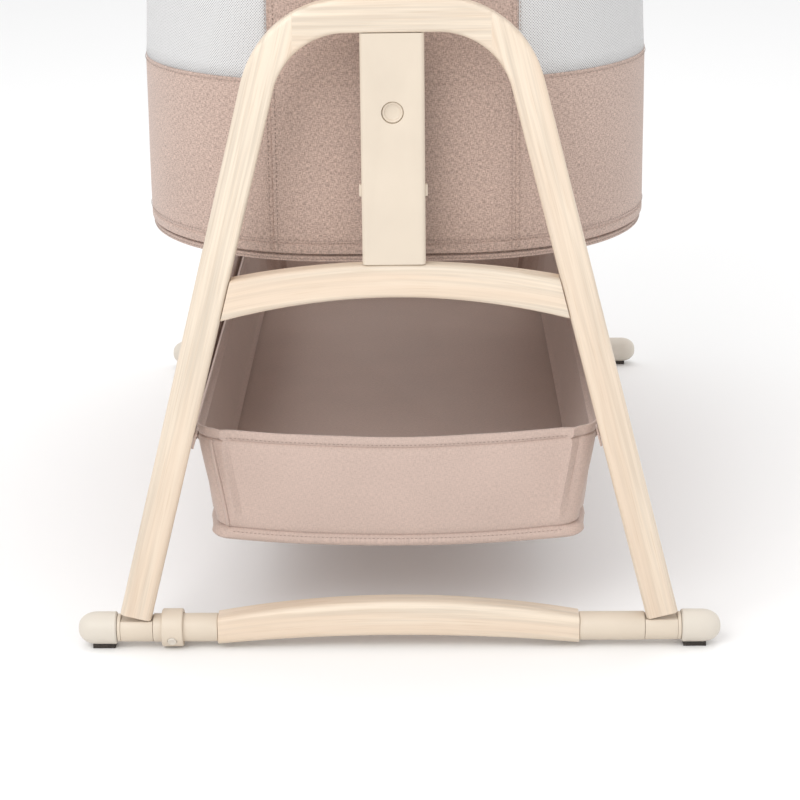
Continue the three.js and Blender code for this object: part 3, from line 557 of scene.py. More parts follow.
class ArchLine:
    """The arch's middle line. The legs' grain runs on through the shoulders, up to a joint in the top."""

    joint = 0.082

    def __init__(self, sizes):
        self.lean, self.radius = sizes.lean, sizes.shoulder
        half = WOOD_WIDTH / 2
        across, rise = half * math.cos(self.lean), half * math.sin(self.lean)
        self.foot = Vector((ARCH[1].x - across, FRAME_Y, ARCH[0].z + rise))
        self.top = ARCH[1].z - half
        reach = self.foot.x - (self.top - self.foot.z) * math.tan(self.lean)
        self.shoulder_x = reach - self.radius * math.tan((math.pi / 2 - self.lean) / 2)
        self.shoulder_z = self.top - self.radius
        self.bend_end = Vector((
            self.shoulder_x + self.radius * math.cos(self.lean), FRAME_Y,
            self.shoulder_z + self.radius * math.sin(self.lean),
        ))
        self.leg = (self.foot - self.bend_end).length

    def grain(self, co):
        """Along, across and through the wood."""
        if abs(co.x) < self.joint:
            return (co.x + 3.1, co.z - self.top, co.y)
        local = Vector((abs(co.x) - self.foot.x, 0, co.z - self.foot.z))
        up = local.dot(Vector((-math.sin(self.lean), 0, math.cos(self.lean))))
        across = local.dot(Vector((math.cos(self.lean), 0, math.sin(self.lean))))
        return (up, across + (0.3 if co.x < 0 else 0), co.y)

    def inner_x(self, z):
        """The leg's inner face at a height."""
        middle = self.foot.x - (z - self.foot.z) * math.tan(self.lean)
        return middle - WOOD_WIDTH / 2 / math.cos(self.lean)


def make_arch(end, sizes):
    line = ArchLine(sizes)
    bm = bmesh.new()
    face = section(bm, WOOD_WIDTH, WOOD_DEPTH, sizes.wood_edge)
    place = Matrix.Translation((-line.foot.x, FRAME_Y, line.foot.z)) @ Matrix.Rotation(line.lean, 4, "Y")
    bmesh.ops.transform(bm, matrix=place, verts=bm.verts)
    up = Vector((math.sin(line.lean), 0, math.cos(line.lean)))
    down = Vector((math.sin(line.lean), 0, -math.cos(line.lean)))
    turn = math.pi / 2 - line.lean
    face = pull(bm, face, up * line.leg)
    face = bend(bm, face, (-line.shoulder_x, FRAME_Y, line.shoulder_z), turn, 20)
    face = pull(bm, face, Vector((2 * line.shoulder_x, 0, 0)))
    face = bend(bm, face, (line.shoulder_x, FRAME_Y, line.shoulder_z), turn, 20)
    pull(bm, face, down * line.leg)
    for joint in (-line.joint, line.joint):
        for beside in (-TOUCH, TOUCH):
            bmesh.ops.bisect_plane(
                bm, geom=[*bm.verts, *bm.edges, *bm.faces], dist=1e-6, plane_co=(joint + beside, 0, 0),
                plane_no=(1, 0, 0),
            )
    feet = ARCH[0].z + WOOD_WIDTH * math.sin(line.lean) + 0.001
    soften(bm, 0.0012, 2, 60, lambda e: all(v.co.z < feet for v in e.verts))
    bmesh.ops.recalc_face_normals(bm, faces=bm.faces)
    coordinates(bm, "grain", line.grain)
    turn_end(bm, end)
    return piece(end + "_bent_arch", bm, "pale_wood", "stand", [end + "_arch"])


def bowed_bar(name, end, body, node, depth, edge, low_high, span, shear):
    """A wooden bar along X whose upper and lower faces are bowed."""
    steps = 36
    thick = 0.02
    bm = bmesh.new()
    face = section(bm, thick, depth, edge)
    bmesh.ops.rotate(bm, cent=(0, 0, 0), matrix=Matrix.Rotation(-math.pi / 2, 3, "Y"), verts=bm.verts)
    bmesh.ops.translate(bm, vec=(-1, FRAME_Y, 0), verts=bm.verts)
    for _ in range(steps):
        face = pull(bm, face, Vector((2 / steps, 0, 0)))
    bmesh.ops.recalc_face_normals(bm, faces=bm.faces)
    grain = bm.verts.layers.float_vector.new("grain")
    for vert in bm.verts:
        at = vert.co.x
        low, high = low_high(at)
        height = high + vert.co.z - thick / 2 if vert.co.z > 0 else low + vert.co.z + thick / 2
        share = (height - low) / (high - low)
        vert.co.x = at * (span + shear * share)
        vert.co.z = height
        vert[grain] = (vert.co.x + 0.37, height - (low + high) / 2 + 0.11, vert.co.y)
    soften(bm, 0.0006, 2, 60)
    turn_end(bm, end)
    return piece(name, bm, "pale_wood", body, [node])


def bow(end_value, middle_value):
    """A parabola through its two ends and its middle."""
    return lambda at: middle_value + (end_value - middle_value) * at * at


def make_cross_bar(end, sizes):
    line = ArchLine(sizes)
    end_top = CROSS[1].z - sizes.cross_rise
    top = bow(end_top, CROSS[1].z)
    low = bow(CROSS[0].z, CROSS[1].z - sizes.cross_thick)
    gap = TOUCH / math.cos(line.lean)
    span = line.inner_x(CROSS[0].z) - gap
    shear = line.inner_x(end_top) - gap - span
    return bowed_bar(
        end + "_bowed_cross_bar", end, "stand", end + "_cross_bar", CROSS[1].y - CROSS[0].y, sizes.wood_edge,
        lambda at: (low(at), top(at)), span, shear,
    )


def make_rail_bar(end, sizes):
    low_end, high_end = AXIS_Z - SLEEVE_RADIUS, AXIS_Z + SLEEVE_RADIUS
    top = bow(high_end, high_end + sizes.bar_rise)
    low = bow(low_end, low_end + sizes.bar_hollow)
    return bowed_bar(
        end + "_bowed_rail", end, end + "_rail", end + "_rail_bar", BAR[1].y - BAR[0].y,
        sizes.wood_edge * 1.3, lambda at: (low(at), top(at)), BAR[1].x, 0.0,
    )


# ---- Foot rail fittings --------------------------------------------------------------------------


def button_line():
    """Places a turned profile on the ring button's own line, its height measured from the rail's axis."""
    low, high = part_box("front_ring_button")
    centre = Vector(((low.x + high.x) / 2, FRAME_Y, AXIS_Z))
    outward = Vector((0, (low.y + high.y) / 2 - FRAME_Y, (low.z + high.z) / 2 - AXIS_Z)).normalized()
    return Matrix.Translation(centre) @ outward.to_track_quat("Z", "Y").to_matrix().to_4x4()


def drill_well(made, end):
    """Cuts the well that the ring button sinks into, with room for its travel."""
    low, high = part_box("front_ring_button")
    radius = (high.x - low.x) / 2 + TOUCH
    floor, top = 0.0099, RING_RADIUS + 0.007
    bm = bmesh.new()
    turned(bm, [(0, floor), (radius, floor), (radius, top), (0, top)], button_line(), 40)
    bmesh.ops.recalc_face_normals(bm, faces=bm.faces)
    turn_end(bm, end)
    mesh = bpy.data.meshes.new("well")
    bm.to_mesh(mesh)
    bm.free()
    well = bpy.data.objects.new("well", mesh)
    bpy.context.scene.collection.objects.link(well)
    cut = made.modifiers.new("Well", "BOOLEAN")
    cut.operation, cut.solver, cut.object = "DIFFERENCE", "EXACT", well
    settle(made)
    made.data.set_sharp_from_angle(angle=math.radians(35))
    bpy.data.objects.remove(well)
    bpy.data.meshes.remove(mesh)


def make_sleeve(end, side):
    reach = COLLAR[0].x - TOUCH - SLEEVE[0].x
    stub = SLEEVE[1].x - SLEEVE[0].x
    bm = bmesh.new()
    turned(bm, [
        (0, 0), (SLEEVE_RADIUS, 0), (SLEEVE_RADIUS, reach), (AXLE_RADIUS, reach), (AXLE_RADIUS, stub),
        (0, stub),
    ], along_x(SLEEVE[0].x))
    soften(bm, 0.0008)
    mirror_side(bm, side)
    turn_end(bm, end)
    name = SIDE_NAMES[side]
    made = piece(
        f"{end}_{name}_rail_sleeve", bm, "cream_plastic", end + "_rail", [f"{end}_{name}_sleeve"]
    )
    if side < 0:
        drill_well(made, end)
    return made


def make_ring(end):
    bm = bmesh.new()
    tube(bm, SLEEVE_RADIUS + TOUCH, RING_RADIUS, RING[0].x, RING[1].x - RING[0].x)
    soften(bm, 0.0016, 4)
    turn_end(bm, end)
    made = piece(end + "_turning_ring", bm, "cream_plastic", end + "_rail", [end + "_lock_ring"])
    drill_well(made, end)
    return made


def make_ring_button(end):
    low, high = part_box("front_ring_button")
    radius = (high.x - low.x) / 2
    proud, tall = 0.0012, 0.005
    reach = RING_RADIUS + proud
    bm = bmesh.new()
    turned(bm, [
        (0, reach - tall), (radius, reach - tall), (radius, reach - 0.0006),
        (radius * 0.82, reach - 0.0001), (radius * 0.66, reach - 0.0004), (0, reach - 0.0007),
    ], button_line(), 40)
    soften(bm, 0.0003, 2, 25)
    turn_end(bm, end)
    return piece(end + "_ring_push_button", bm, "cap_plastic", end + "_ring_button", [end + "_ring_button"])


def make_collar(end, side, sizes):
    """A tube cut to a flat seat with a shallow socket under the leg's foot, left round at its outer end."""
    line = ArchLine(sizes)
    outer = (COLLAR[1].y - COLLAR[0].y) / 2
    wall, socket, parting = 0.0016, 0.0005, 0.0002
    lip = line.foot.x + WOOD_WIDTH / 2 * math.cos(line.lean) + TOUCH
    round_end = bmesh.new()
    tube(round_end, AXLE_BORE, outer, lip, COLLAR[1].x - lip, 64)
    soften(round_end, 0.0007, 3, 40)
    bm = bmesh.new()
    tube(bm, AXLE_BORE, outer, COLLAR[0].x, lip - COLLAR[0].x - parting, 64)
    cut = bmesh.ops.bisect_plane(
        bm, geom=[*bm.verts, *bm.edges, *bm.faces], dist=1e-7, plane_co=(0, 0, AXIS_Z + sizes.seat),
        plane_no=(0, 0, 1), clear_outer=True,
    )["geom_cut"]
    top = bmesh.ops.holes_fill(bm, edges=picked(cut, bmesh.types.BMEdge), sides=0)["faces"]
    bmesh.ops.inset_region(bm, faces=top, thickness=wall, use_even_offset=True)
    bmesh.ops.translate(bm, vec=(0, 0, -socket), verts=list({v for f in top for v in f.verts}))
    bmesh.ops.recalc_face_normals(bm, faces=bm.faces)
    soften(bm, 0.0005, 2, 40)
    mesh = bpy.data.meshes.new("round_end")
    round_end.to_mesh(mesh)
    round_end.free()
    bm.from_mesh(mesh)
    bpy.data.meshes.remove(mesh)
    mirror_side(bm, side)
    turn_end(bm, end)
    name = SIDE_NAMES[side]
    return piece(f"{end}_{name}_leg_collar", bm, "cream_plastic", "stand", [f"{end}_{name}_collar"])


def make_cap(end, side, sizes):
    radius = (CAP[1].z - CAP[0].z) / 2
    reach = CAP[1].x - CAP[0].x
    depth, edge, steps = 0.015, 0.0012, 14
    profile = [(0, depth), (AXLE_BORE, depth), (AXLE_BORE, 0), (radius - edge, 0), (radius, edge)]
    for step in range(steps + 1):
        turn = step / steps * math.pi / 2
        across = radius * math.cos(turn) ** 0.8 if step < steps else 0.0
        profile.append((across, reach - sizes.dome + sizes.dome * math.sin(turn)))
    bm = bmesh.new()
    turned(bm, profile, along_x(CAP[0].x), 56)
    mirror_side(bm, side)
    turn_end(bm, end)
    name = SIDE_NAMES[side]
    return piece(f"{end}_{name}_end_cap", bm, "cap_plastic", end + "_rail", [f"{end}_{name}_cap"])


def make_pad(end, side):
    name = f"{end}_{SIDE_NAMES[side]}_pad"
    bm = copy_of(name)
    soften(bm, 0.0008, 2, 60)
    return piece(f"{end}_{SIDE_NAMES[side]}_foot_pad", bm, "rubber", end + "_rail", [name])


# ---- Columns, buttons and hangers ----------------------------------------------------------------


def make_column(end, sizes):
    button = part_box("front_height_button")
    hole_z = (button[0].z + button[1].z) / 2
    hole_radius = 0.0093
    half = BACK[1].x
    front, back = SHELL[0].y, SHELL[1].y
    bm = bmesh.new()
    block(bm, (-half, front, SHELL[0].z), (half, back, SHELL[1].z))
    upright = [e for e in bm.edges if all(abs(v.co.y - front) < 1e-6 for v in e.verts)
               and abs(e.verts[0].co.x - e.verts[1].co.x) < 1e-6]
    bmesh.ops.bevel(
        bm, geom=upright, offset=sizes.corner, offset_type="OFFSET", segments=8, profile=0.5, affect="EDGES",
        material=-1,
    )
    face = min(bm.faces, key=lambda f: (round(f.calc_center_median().y, 6), -f.calc_area()))
    rim = list(face.edges)
    gone = [f for f in bm.faces if f is face or abs(f.normal.z) > 0.9 or f.normal.y > 0.9]
    bmesh.ops.delete(bm, geom=gone, context="FACES_ONLY")
    ring = bmesh.ops.create_circle(bm, segments=56, radius=hole_radius)["verts"]
    place = Matrix.Translation((0, front, hole_z)) @ Matrix.Rotation(math.pi / 2, 4, "X")
    bmesh.ops.transform(bm, matrix=place, verts=ring)
    circle = list({e for v in ring for e in v.link_edges})
    bmesh.ops.triangle_fill(bm, use_beauty=True, edges=rim + circle)
    loose = [e for e in bm.edges if not e.link_faces]
    bmesh.ops.delete(bm, geom=loose, context="EDGES")
    bmesh.ops.recalc_face_normals(bm, faces=bm.faces)
    if next(f for f in bm.faces if abs(f.normal.y) > 0.99).normal.y > 0:
        bmesh.ops.reverse_faces(bm, faces=bm.faces)
    bmesh.ops.solidify(bm, geom=bm.faces, thickness=sizes.wall)
    bmesh.ops.recalc_face_normals(bm, faces=bm.faces)

    def on_hole(edge):
        return all(
            abs(math.hypot(v.co.x, v.co.z - hole_z) - hole_radius) < 1e-5 and abs(v.co.y - front) < 1e-5
            for v in edge.verts
        )

    soften(bm, 0.0008, 3, 40, on_hole)
    lug_z, lug_tall, lug_deep, lug_thick = SHELL[0].z + 0.0627, 0.005, 0.003, 0.003
    for side in SIDES:
        low = min(side * (half - 0.001), side * (half - 0.001 + lug_thick))
        lug = block(
            bm, (low, FRAME_Y - lug_deep, lug_z - lug_tall),
            (low + lug_thick, FRAME_Y + lug_deep, lug_z + lug_tall),
        )
        bmesh.ops.bevel(
            bm, geom=list({e for v in lug for e in v.link_edges}), offset=0.0008, offset_type="OFFSET",
            segments=3, profile=0.5, affect="EDGES", material=-1,
        )
    turn_end(bm, end)
    return piece(end + "_column_housing", bm, "cream_plastic", "stand", [end + "_column_shell"])


def make_column_back(end):
    name = end + "_column_back"
    bm = copy_of(name)
    soften(bm, 0.0008)
    return piece(end + "_slotted_back", bm, "cream_plastic", "stand", [name])


def make_height_button(end):
    low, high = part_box("front_height_button")
    radius = 0.009
    depth = high.y - low.y
    flange = (high.x - low.x) / 2
    bm = bmesh.new()
    centre = Vector((0, high.y, (low.z + high.z) / 2))
    profile = [
        (0, 0), (flange, 0), (flange, 0.001), (radius, 0.001), (radius, depth - 0.0012),
        (radius - 0.0007, depth - 0.0004), (radius - 0.0018, depth - 0.0008),
        (radius - 0.0028, depth - 0.0022), (radius * 0.35, depth - 0.0030), (0, depth - 0.0031),
    ]
    turned(bm, profile, Matrix.Translation(centre) @ Matrix.Rotation(math.pi / 2, 4, "X"), 48)
    soften(bm, 0.0002, 2, 25)
    turn_end(bm, end)
    return piece(end + "_domed_button", bm, "cream_plastic", end + "_height_button", [end + "_height_button"])


def make_hanger(end):
    body = end + "_carriage"
    bm = copy_of(end + "_carriage")
    soften(bm, 0.0009, 3, 50)
    piece(end + "_sliding_carriage", bm, "white_steel", body, [end + "_carriage"])
    bm = copy_of(end + "_bracket")
    soften(bm, 0.0008, 3, 50)
    piece(end + "_hanging_bracket", bm, "white_steel", "bassinet", [end + "_bracket"])
    low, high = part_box("front_pivot_pin")
    radius, half = (high.z - low.z) / 2, high.x
    bm = bmesh.new()
    start = Vector((-half, (low.y + high.y) / 2, (low.z + high.z) / 2))
    place = Matrix.Translation(start) @ Matrix.Rotation(math.pi / 2, 4, "Y")
    turned(bm, [(0, 0), (radius, 0), (radius, 2 * half), (0, 2 * half)], place, 32)
    soften(bm, 0.0005, 2)
    turn_end(bm, end)
    return piece(end + "_hinge_pin", bm, "steel", "bassinet", [end + "_pivot_pin"])


# ---- Bassinet ------------------------------------------------------------------------------------


class Plan:
    """The bassinet's plan, a rectangle with large round corners."""

    def __init__(self, soft):
        self.radius = soft.corner
        self.x, self.y = COVER[1].x - self.radius, COVER[1].y - self.radius

    def centre(self, co):
        return Vector((max(-self.x, min(self.x, co.x)), max(-self.y, min(self.y, co.y)), 0))

    def outward(self, co):
        away = Vector((co.x, co.y, 0)) - self.centre(co)
        return away.normalized()

    def reach(self, co):
        """How far a point lies from the middle of its round corner."""
        return (co.xy - self.centre(co).xy).length

    def put(self, co, inset, z):
        """The point beside co that lies an inset inside the plan, at a height."""
        middle, out = self.centre(co), self.outward(co)
        return middle + out * (self.radius - inset) + Vector((0, 0, z))

    def along(self, co):
        """Distance round the plan from the middle of the nearer long way, the same on both sides."""
        middle, out = self.centre(co), self.outward(co)
        turn = math.atan2(abs(out.x), -out.y)
        across = 2 * self.x - abs(middle.x) if out.y > 1e-6 else abs(middle.x)
        return across + turn * self.radius + middle.y + self.y

    def ring(self, bm, inset, z, spacing=0.012, segments=30):
        """A closed ring of edges at an inset and a height."""
        made = bmesh.ops.create_grid(bm, x_segments=1, y_segments=1, size=0.5)["verts"]
        bmesh.ops.scale(bm, vec=(2 * COVER[1].x, 2 * COVER[1].y, 1), verts=made)
        bmesh.ops.bevel(
            bm, geom=made, offset=self.radius, offset_type="OFFSET", segments=segments, profile=0.5,
            affect="VERTICES", material=-1,
        )
        face = next(f for f in bm.faces if all(abs(v.co.z) < 1e-9 for v in f.verts))
        for edge in list(face.edges):
            cuts = int(edge.calc_length() / spacing) - 1
            if cuts > 0:
                bmesh.ops.subdivide_edges(bm, edges=[edge], cuts=cuts)
        edges = list(face.edges)
        bmesh.ops.delete(bm, geom=[face], context="FACES_ONLY")
        for vert in {v for e in edges for v in e.verts}:
            vert.co = self.put(vert.co, inset, z)
        return edges

    def skin(self, bm, profile, edges=None):
        """A wall drawn up through a profile of (inset, height) from a ring."""
        if edges is None:
            edges = self.ring(bm, *profile[0])
            profile = profile[1:]
        for inset, z in profile:
            made = bmesh.ops.extrude_edge_only(bm, edges=edges)["geom"]
            verts = set(picked(made, bmesh.types.BMVert))
            for vert in verts:
                vert.co = self.put(vert.co, inset, z)
            edges = [e for e in picked(made, bmesh.types.BMEdge) if all(v in verts for v in e.verts)]
        return edges

    def line(self, inset, z, keep=None):
        """Points and outward directions of a sewn line round the plan."""
        bm = bmesh.new()
        edges = self.ring(bm, inset, z)
        vert = edges[0].verts[0]
        edge, points = edges[0], [vert.co.copy()]
        for _ in range(len(edges)):
            vert = edge.other_vert(vert)
            points.append(vert.co.copy())
            edge = next(e for e in vert.link_edges if e is not edge)
        bm.free()
        rows, row = [], []
        for point in points:
            if keep is None or keep(point):
                row.append(point)
            elif row:
                rows.append(row)
                row = []
        rows.append(row)
        return [(row, [self.outward(p) for p in row]) for row in rows if len(row) > 1]


def face_out(bm, plan):
    """Turns a wall's faces outwards."""
    bmesh.ops.recalc_face_normals(bm, faces=bm.faces)
    side = max(bm.faces, key=lambda f: abs(f.normal.dot(plan.outward(f.calc_center_median()))))
    if side.normal.dot(plan.outward(side.calc_center_median())) < 0:
        bmesh.ops.reverse_faces(bm, faces=bm.faces)


def seam_cuts(bm, places, gap):
    """Three close loops at each upright seam."""
    for place in places:
        for offset in (-gap, 0, gap):
            bmesh.ops.bisect_plane(
                bm, geom=[*bm.verts, *bm.edges, *bm.faces], dist=1e-6, plane_co=(place + offset, 0, 0),
                plane_no=(1, 0, 0),
            )


def make_cover(soft):
    plan = Plan(soft)
    low, top = COVER[0].z, COVER[1].z
    window_low, window_high = low + soft.band, RIM[1].z - soft.head
    hem = low + soft.hem
    bm = bmesh.new()
    profile = [
        (0.0022, low), (0.0006, low + 0.0006), (0.0, low + 0.0022), (0.0, hem - 0.0016), (0.0012, hem),
        (0.0, hem + 0.0016),
    ]
    rows = 10
    for row in range(1, rows + 1):
        profile.append((0.0, hem + 0.0016 + (window_low - 0.005 - hem - 0.0016) * row / rows))
    profile += [(0.0007, window_low - 0.0035), (0.0001, window_low - 0.0018), (0.0, window_low)]
    for row in range(1, rows + 1):
        profile.append((0.0, window_low + (window_high - window_low) * row / rows))
    profile += [(0.0001, window_high + 0.0018), (0.0007, window_high + 0.0035), (0.0, window_high + 0.005)]
    profile.append((0.0, top))
    plan.skin(bm, profile)
    seam_cuts(bm, (-soft.panel, soft.panel), 0.0018)
    for vert in bm.verts:
        beside = abs(abs(vert.co.x) - soft.panel)
        out = plan.outward(vert.co)
        if beside < 1e-5:
            vert.co -= out * 0.0013
        else:
            swell = noise.noise(vert.co * 14) * 0.0005
            vert.co += out * (swell - 0.0005)
    edge = soft.panel + 0.0017
    open_faces = [
        f for f in bm.faces
        if window_low < f.calc_center_median().z < window_high and abs(f.calc_center_median().x) > edge
    ]
    bmesh.ops.delete(bm, geom=open_faces, context="FACES")
    face_out(bm, plan)
    coordinates(bm, "weave", lambda co: (plan.along(co), co.z, 0))
    wall = piece("bassinet_cloth_wall", bm, "linen", "bassinet", ["bassinet_cover"])
    cloth_wall(wall, soft.cloth)
    bm = bmesh.new()
    plan.skin(bm, [(0.0026, low + 0.0003), (0.02, low), (0.06, low), (0.11, low)])
    inner_edge = plan.radius - 0.1
    edges = [e for e in bm.edges if e.is_boundary and plan.reach(e.verts[0].co) < inner_edge]
    bmesh.ops.holes_fill(bm, edges=edges, sides=0)
    bmesh.ops.recalc_face_normals(bm, faces=bm.faces)
    coordinates(bm, "weave", lambda co: (co.x + 1.3, co.y, 0))
    under = piece("bassinet_floor_cloth", bm, "linen", "bassinet")
    cloth_wall(under, 0.0014, 1.0)


def make_cover_seams(soft):
    """Stitch rows on the cover's hem, window edges and upright seams."""
    plan = Plan(soft)
    low, top = COVER[0].z, COVER[1].z
    window_low, window_high = low + soft.band, RIM[1].z - soft.head

    def beyond(point):
        return abs(point.x) > soft.panel + 0.004

    bm = bmesh.new()
    rows = ((low + soft.hem + 0.0032, None), (window_low - 0.0030, beyond), (window_high + 0.0030, beyond))
    for z, keep in rows:
        for points, normals in plan.line(-0.00005, z, keep):
            stitches(bm, points, normals, soft.stitch)
    for end in SIDES:
        for side in SIDES:
            for beside in (-0.0034, 0.0034):
                x = side * (soft.panel + beside)
                start = plan.put(Vector((x, end * COVER[1].y, 0)), 0, 0)
                start.x = x
                out = plan.outward(start)
                base = plan.centre(start) + out * (plan.radius + 0.00005)
                points = [base + Vector((0, 0, z)) for z in (low + 0.004, top - 0.002)]
                stitches(bm, points, [out], soft.stitch)
    coordinates(bm, "weave", lambda co: (co.x, co.z, 0))
    return piece("cover_stitching", bm, "thread_and_seam_shade", "bassinet")


def make_windows(soft):
    plan = Plan(soft)
    low, high = WINDOW[0].z, WINDOW[1].z
    rows = 16
    for side in SIDES:
        bm = bmesh.new()
        plan.skin(bm, [(0.0009, low - 0.001 + (high - low + 0.002) * row / rows) for row in range(rows + 1)])
        bmesh.ops.bisect_plane(
            bm, geom=[*bm.verts, *bm.edges, *bm.faces], dist=1e-6,
            plane_co=(side * (soft.panel + 0.0005), 0, 0), plane_no=(-side, 0, 0), clear_outer=True,
        )
        for vert in bm.verts:
            share = (vert.co.z - low) / (high - low)
            far = min(1.0, (abs(vert.co.x) - soft.panel) / 0.06)
            vert.co -= plan.outward(vert.co) * 0.0028 * 4 * max(share * (1 - share), 0) * far
        face_out(bm, plan)
        coordinates(bm, "weave", lambda co: (plan.along(co), co.z, 0))
        name = SIDE_NAMES[side]
        made = piece(f"{name}_knitted_window", bm, "white_mesh", "bassinet", [f"{name}_mesh_window"])
        cloth_wall(made, 0.0009)


def make_rim(soft):
    """The padded rim: a soft roll over the top hoop, with its skirt inside and outside."""
    plan = Plan(soft)
    low, high = RIM[0].z, RIM[1].z
    outer, inner = COVER[1].x - RIM[1].x, COVER[1].x - RIM[1].x + 0.02
    middle, half = (outer + inner) / 2, (inner - outer) / 2
    shoulder = high - half
    profile = [(outer + 0.0030, low), (outer + 0.0010, low + 0.0008), (outer + 0.0004, low + 0.004)]
    profile += [(outer + 0.0014, low + 0.0062), (outer + 0.0002, low + 0.0085), (outer, (low + shoulder) / 2)]
    steps = 12
    for step in range(steps + 1):
        turn = math.pi * step / steps
        profile.append((middle - half * math.cos(turn), shoulder + half * math.sin(turn)))
    profile += [(inner, (low + shoulder) / 2), (inner - 0.0002, low + 0.0085), (inner - 0.0014, low + 0.0062)]
    profile += [(inner - 0.0004, low + 0.004), (inner - 0.0010, low + 0.0008), (inner - 0.0030, low)]
    bm = bmesh.new()
    plan.skin(bm, profile)
    for vert in bm.verts:
        swell = noise.noise(vert.co * 22) * 0.0006 - 0.0006
        away = 1 if plan.radius - plan.reach(vert.co) < middle else -1
        vert.co += plan.outward(vert.co) * swell * away
    face_out(bm, plan)
    coordinates(bm, "weave", lambda co: (plan.along(co), co.z, 0))
    made = piece("padded_rim", bm, "linen", "bassinet", ["rim_cover"])
    cloth_wall(made, 0.003)
    bm = bmesh.new()
    for points, normals in plan.line(outer - 0.0001, low + 0.0105):
        stitches(bm, points, normals, soft.stitch)
    for points, normals in plan.line(inner + 0.0001, low + 0.0105):
        stitches(bm, points, [-n for n in normals], soft.stitch)
    return piece("rim_stitching", bm, "thread_and_seam_shade", "bassinet")


def make_end_lining(soft):
    """The stiffened end panels, covered in cloth, inside the cover."""
    plan = Plan(soft)
    for end, sign in zip(ENDS, (-1, 1)):
        low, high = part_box(end + "_end_board")
        outer, inner = 0.0033, 0.0073
        bm = bmesh.new()
        edges = plan.skin(bm, [
            (outer, low.z), (outer, high.z), (inner, high.z), (inner, (low.z + high.z) / 2), (inner, low.z),
        ])
        start = [
            e for e in bm.edges
            if e.is_boundary and all((plan.put(v.co, outer, 0).xy - v.co.xy).length < 1e-6 for v in e.verts)
        ]
        bmesh.ops.bridge_loops(bm, edges=edges + start)
        for plane, way in ((-high.x, -1), (high.x, 1)):
            cut = bmesh.ops.bisect_plane(
                bm, geom=[*bm.verts, *bm.edges, *bm.faces], dist=1e-6, plane_co=(plane, 0, 0),
                plane_no=(way, 0, 0), clear_outer=True,
            )["geom_cut"]
            bmesh.ops.holes_fill(bm, edges=picked(cut, bmesh.types.BMEdge), sides=0)
        far = [f for f in bm.faces if f.calc_center_median().y * sign < 0]
        bmesh.ops.delete(bm, geom=far, context="FACES")
        bmesh.ops.recalc_face_normals(bm, faces=bm.faces)
        soften(bm, 0.0012, 3, 50)
        coordinates(bm, "weave", lambda co: (plan.along(co) + 0.7, co.z, 0))
        piece(end + "_end_lining", bm, "linen", "bassinet", [end + "_end_board"])


def make_trim(soft):
    """The narrow sewn strip under the cover's hem."""
    plan = Plan(soft)
    low, high = TRIM[0].z, TRIM[1].z
    lip = 0.005
    profile = [
        (0.0110, high), (0.0058, high), (0.0056, low + lip), (0.0036, low + lip),
        (0.0027, low + lip - 0.0007), (0.0025, low + lip - 0.0018), (0.0028, low + lip / 2),
        (0.0025, low + 0.0018), (0.0028, low + 0.0006), (0.0038, low), (0.0110, low),
    ]
    bm = bmesh.new()
    edges = plan.skin(bm, profile)
    others = [e for e in bm.edges if e.is_boundary and e not in set(edges)]
    bmesh.ops.bridge_loops(bm, edges=edges + others)
    face_out(bm, plan)
    coordinates(bm, "weave", lambda co: (plan.along(co), co.z * 1.5, 0))
    piece("sewn_base_trim", bm, "linen", "bassinet", ["base_trim"])
    bm = bmesh.new()
    for points, normals in plan.line(0.0024, low + lip / 2):
        stitches(bm, points, normals, soft.stitch, 0.0008)
    return piece("trim_stitching", bm, "thread_and_seam_shade", "bassinet")


def make_mattress(soft):
    """A flat foam mattress, blown up a little under its cotton cover, with a piped edge."""
    plan = Plan(soft)
    low, high = MATTRESS
    inset = COVER[1].x - high.x
    slack = 0.004
    bm = bmesh.new()
    edge = 0.009
    profile = [
        (inset + slack + edge, low.z + 0.001), (inset + slack + edge * 0.3, low.z + 0.004),
        (inset + slack, low.z + edge), (inset + slack, high.z - slack - edge),
        (inset + slack + edge * 0.3, high.z - slack - 0.002), (inset + slack + edge, high.z - slack),
    ]
    plan.skin(bm, profile)
    bmesh.ops.holes_fill(bm, edges=[e for e in bm.edges if e.is_boundary], sides=0)
    bmesh.ops.recalc_face_normals(bm, faces=bm.faces)
    mattress = piece("padded_mattress", bm, "white_cotton", "bassinet", ["mattress"], angle=180)
    remesh = mattress.modifiers.new("Remesh", "REMESH")
    remesh.mode, remesh.voxel_size = "VOXEL", 0.007
    remesh.use_smooth_shade = True
    settle(mattress)
    rest = [v.co.copy() for v in mattress.data.vertices]
    cloth = mattress.modifiers.new("Cloth", "CLOTH")
    cloth.settings.use_pressure = True
    cloth.settings.uniform_pressure_force = 4
    cloth.settings.effector_weights.gravity = 0
    cloth.settings.quality = 4
    cloth.point_cache.frame_start, cloth.point_cache.frame_end = 1, 20
    for frame_number in range(1, 21):
        bpy.context.scene.frame_set(frame_number)
    settle(mattress)
    for vert, start in zip(mattress.data.vertices, rest):
        moved = vert.co - start
        if moved.length > slack:
            moved = moved.normalized() * slack
        vert.co = start + moved
        vert.co.z = max(vert.co.z, low.z)
    bpy.context.scene.frame_set(1)
    smooth = mattress.modifiers.new("Subdivision", "SUBSURF")
    smooth.levels = smooth.render_levels = 1
    bm = bmesh.new()
    for points, _ in plan.line(inset + 0.0022, low.z + 0.020):
        verts = [bm.verts.new(p) for p in points[:-1]]
        for pair in zip(verts, verts[1:] + verts[:1]):
            bm.edges.new(pair)
    round_wire(piece("mattress_piping", bm, "white_cotton", "bassinet"), 0.0017)
    return mattress


def settle(made):
    """Applies a piece's modifiers to its mesh."""
    graph = bpy.context.evaluated_depsgraph_get()
    mesh = bpy.data.meshes.new_from_object(made.evaluated_get(graph))
    made.modifiers.clear()
    made.data = mesh


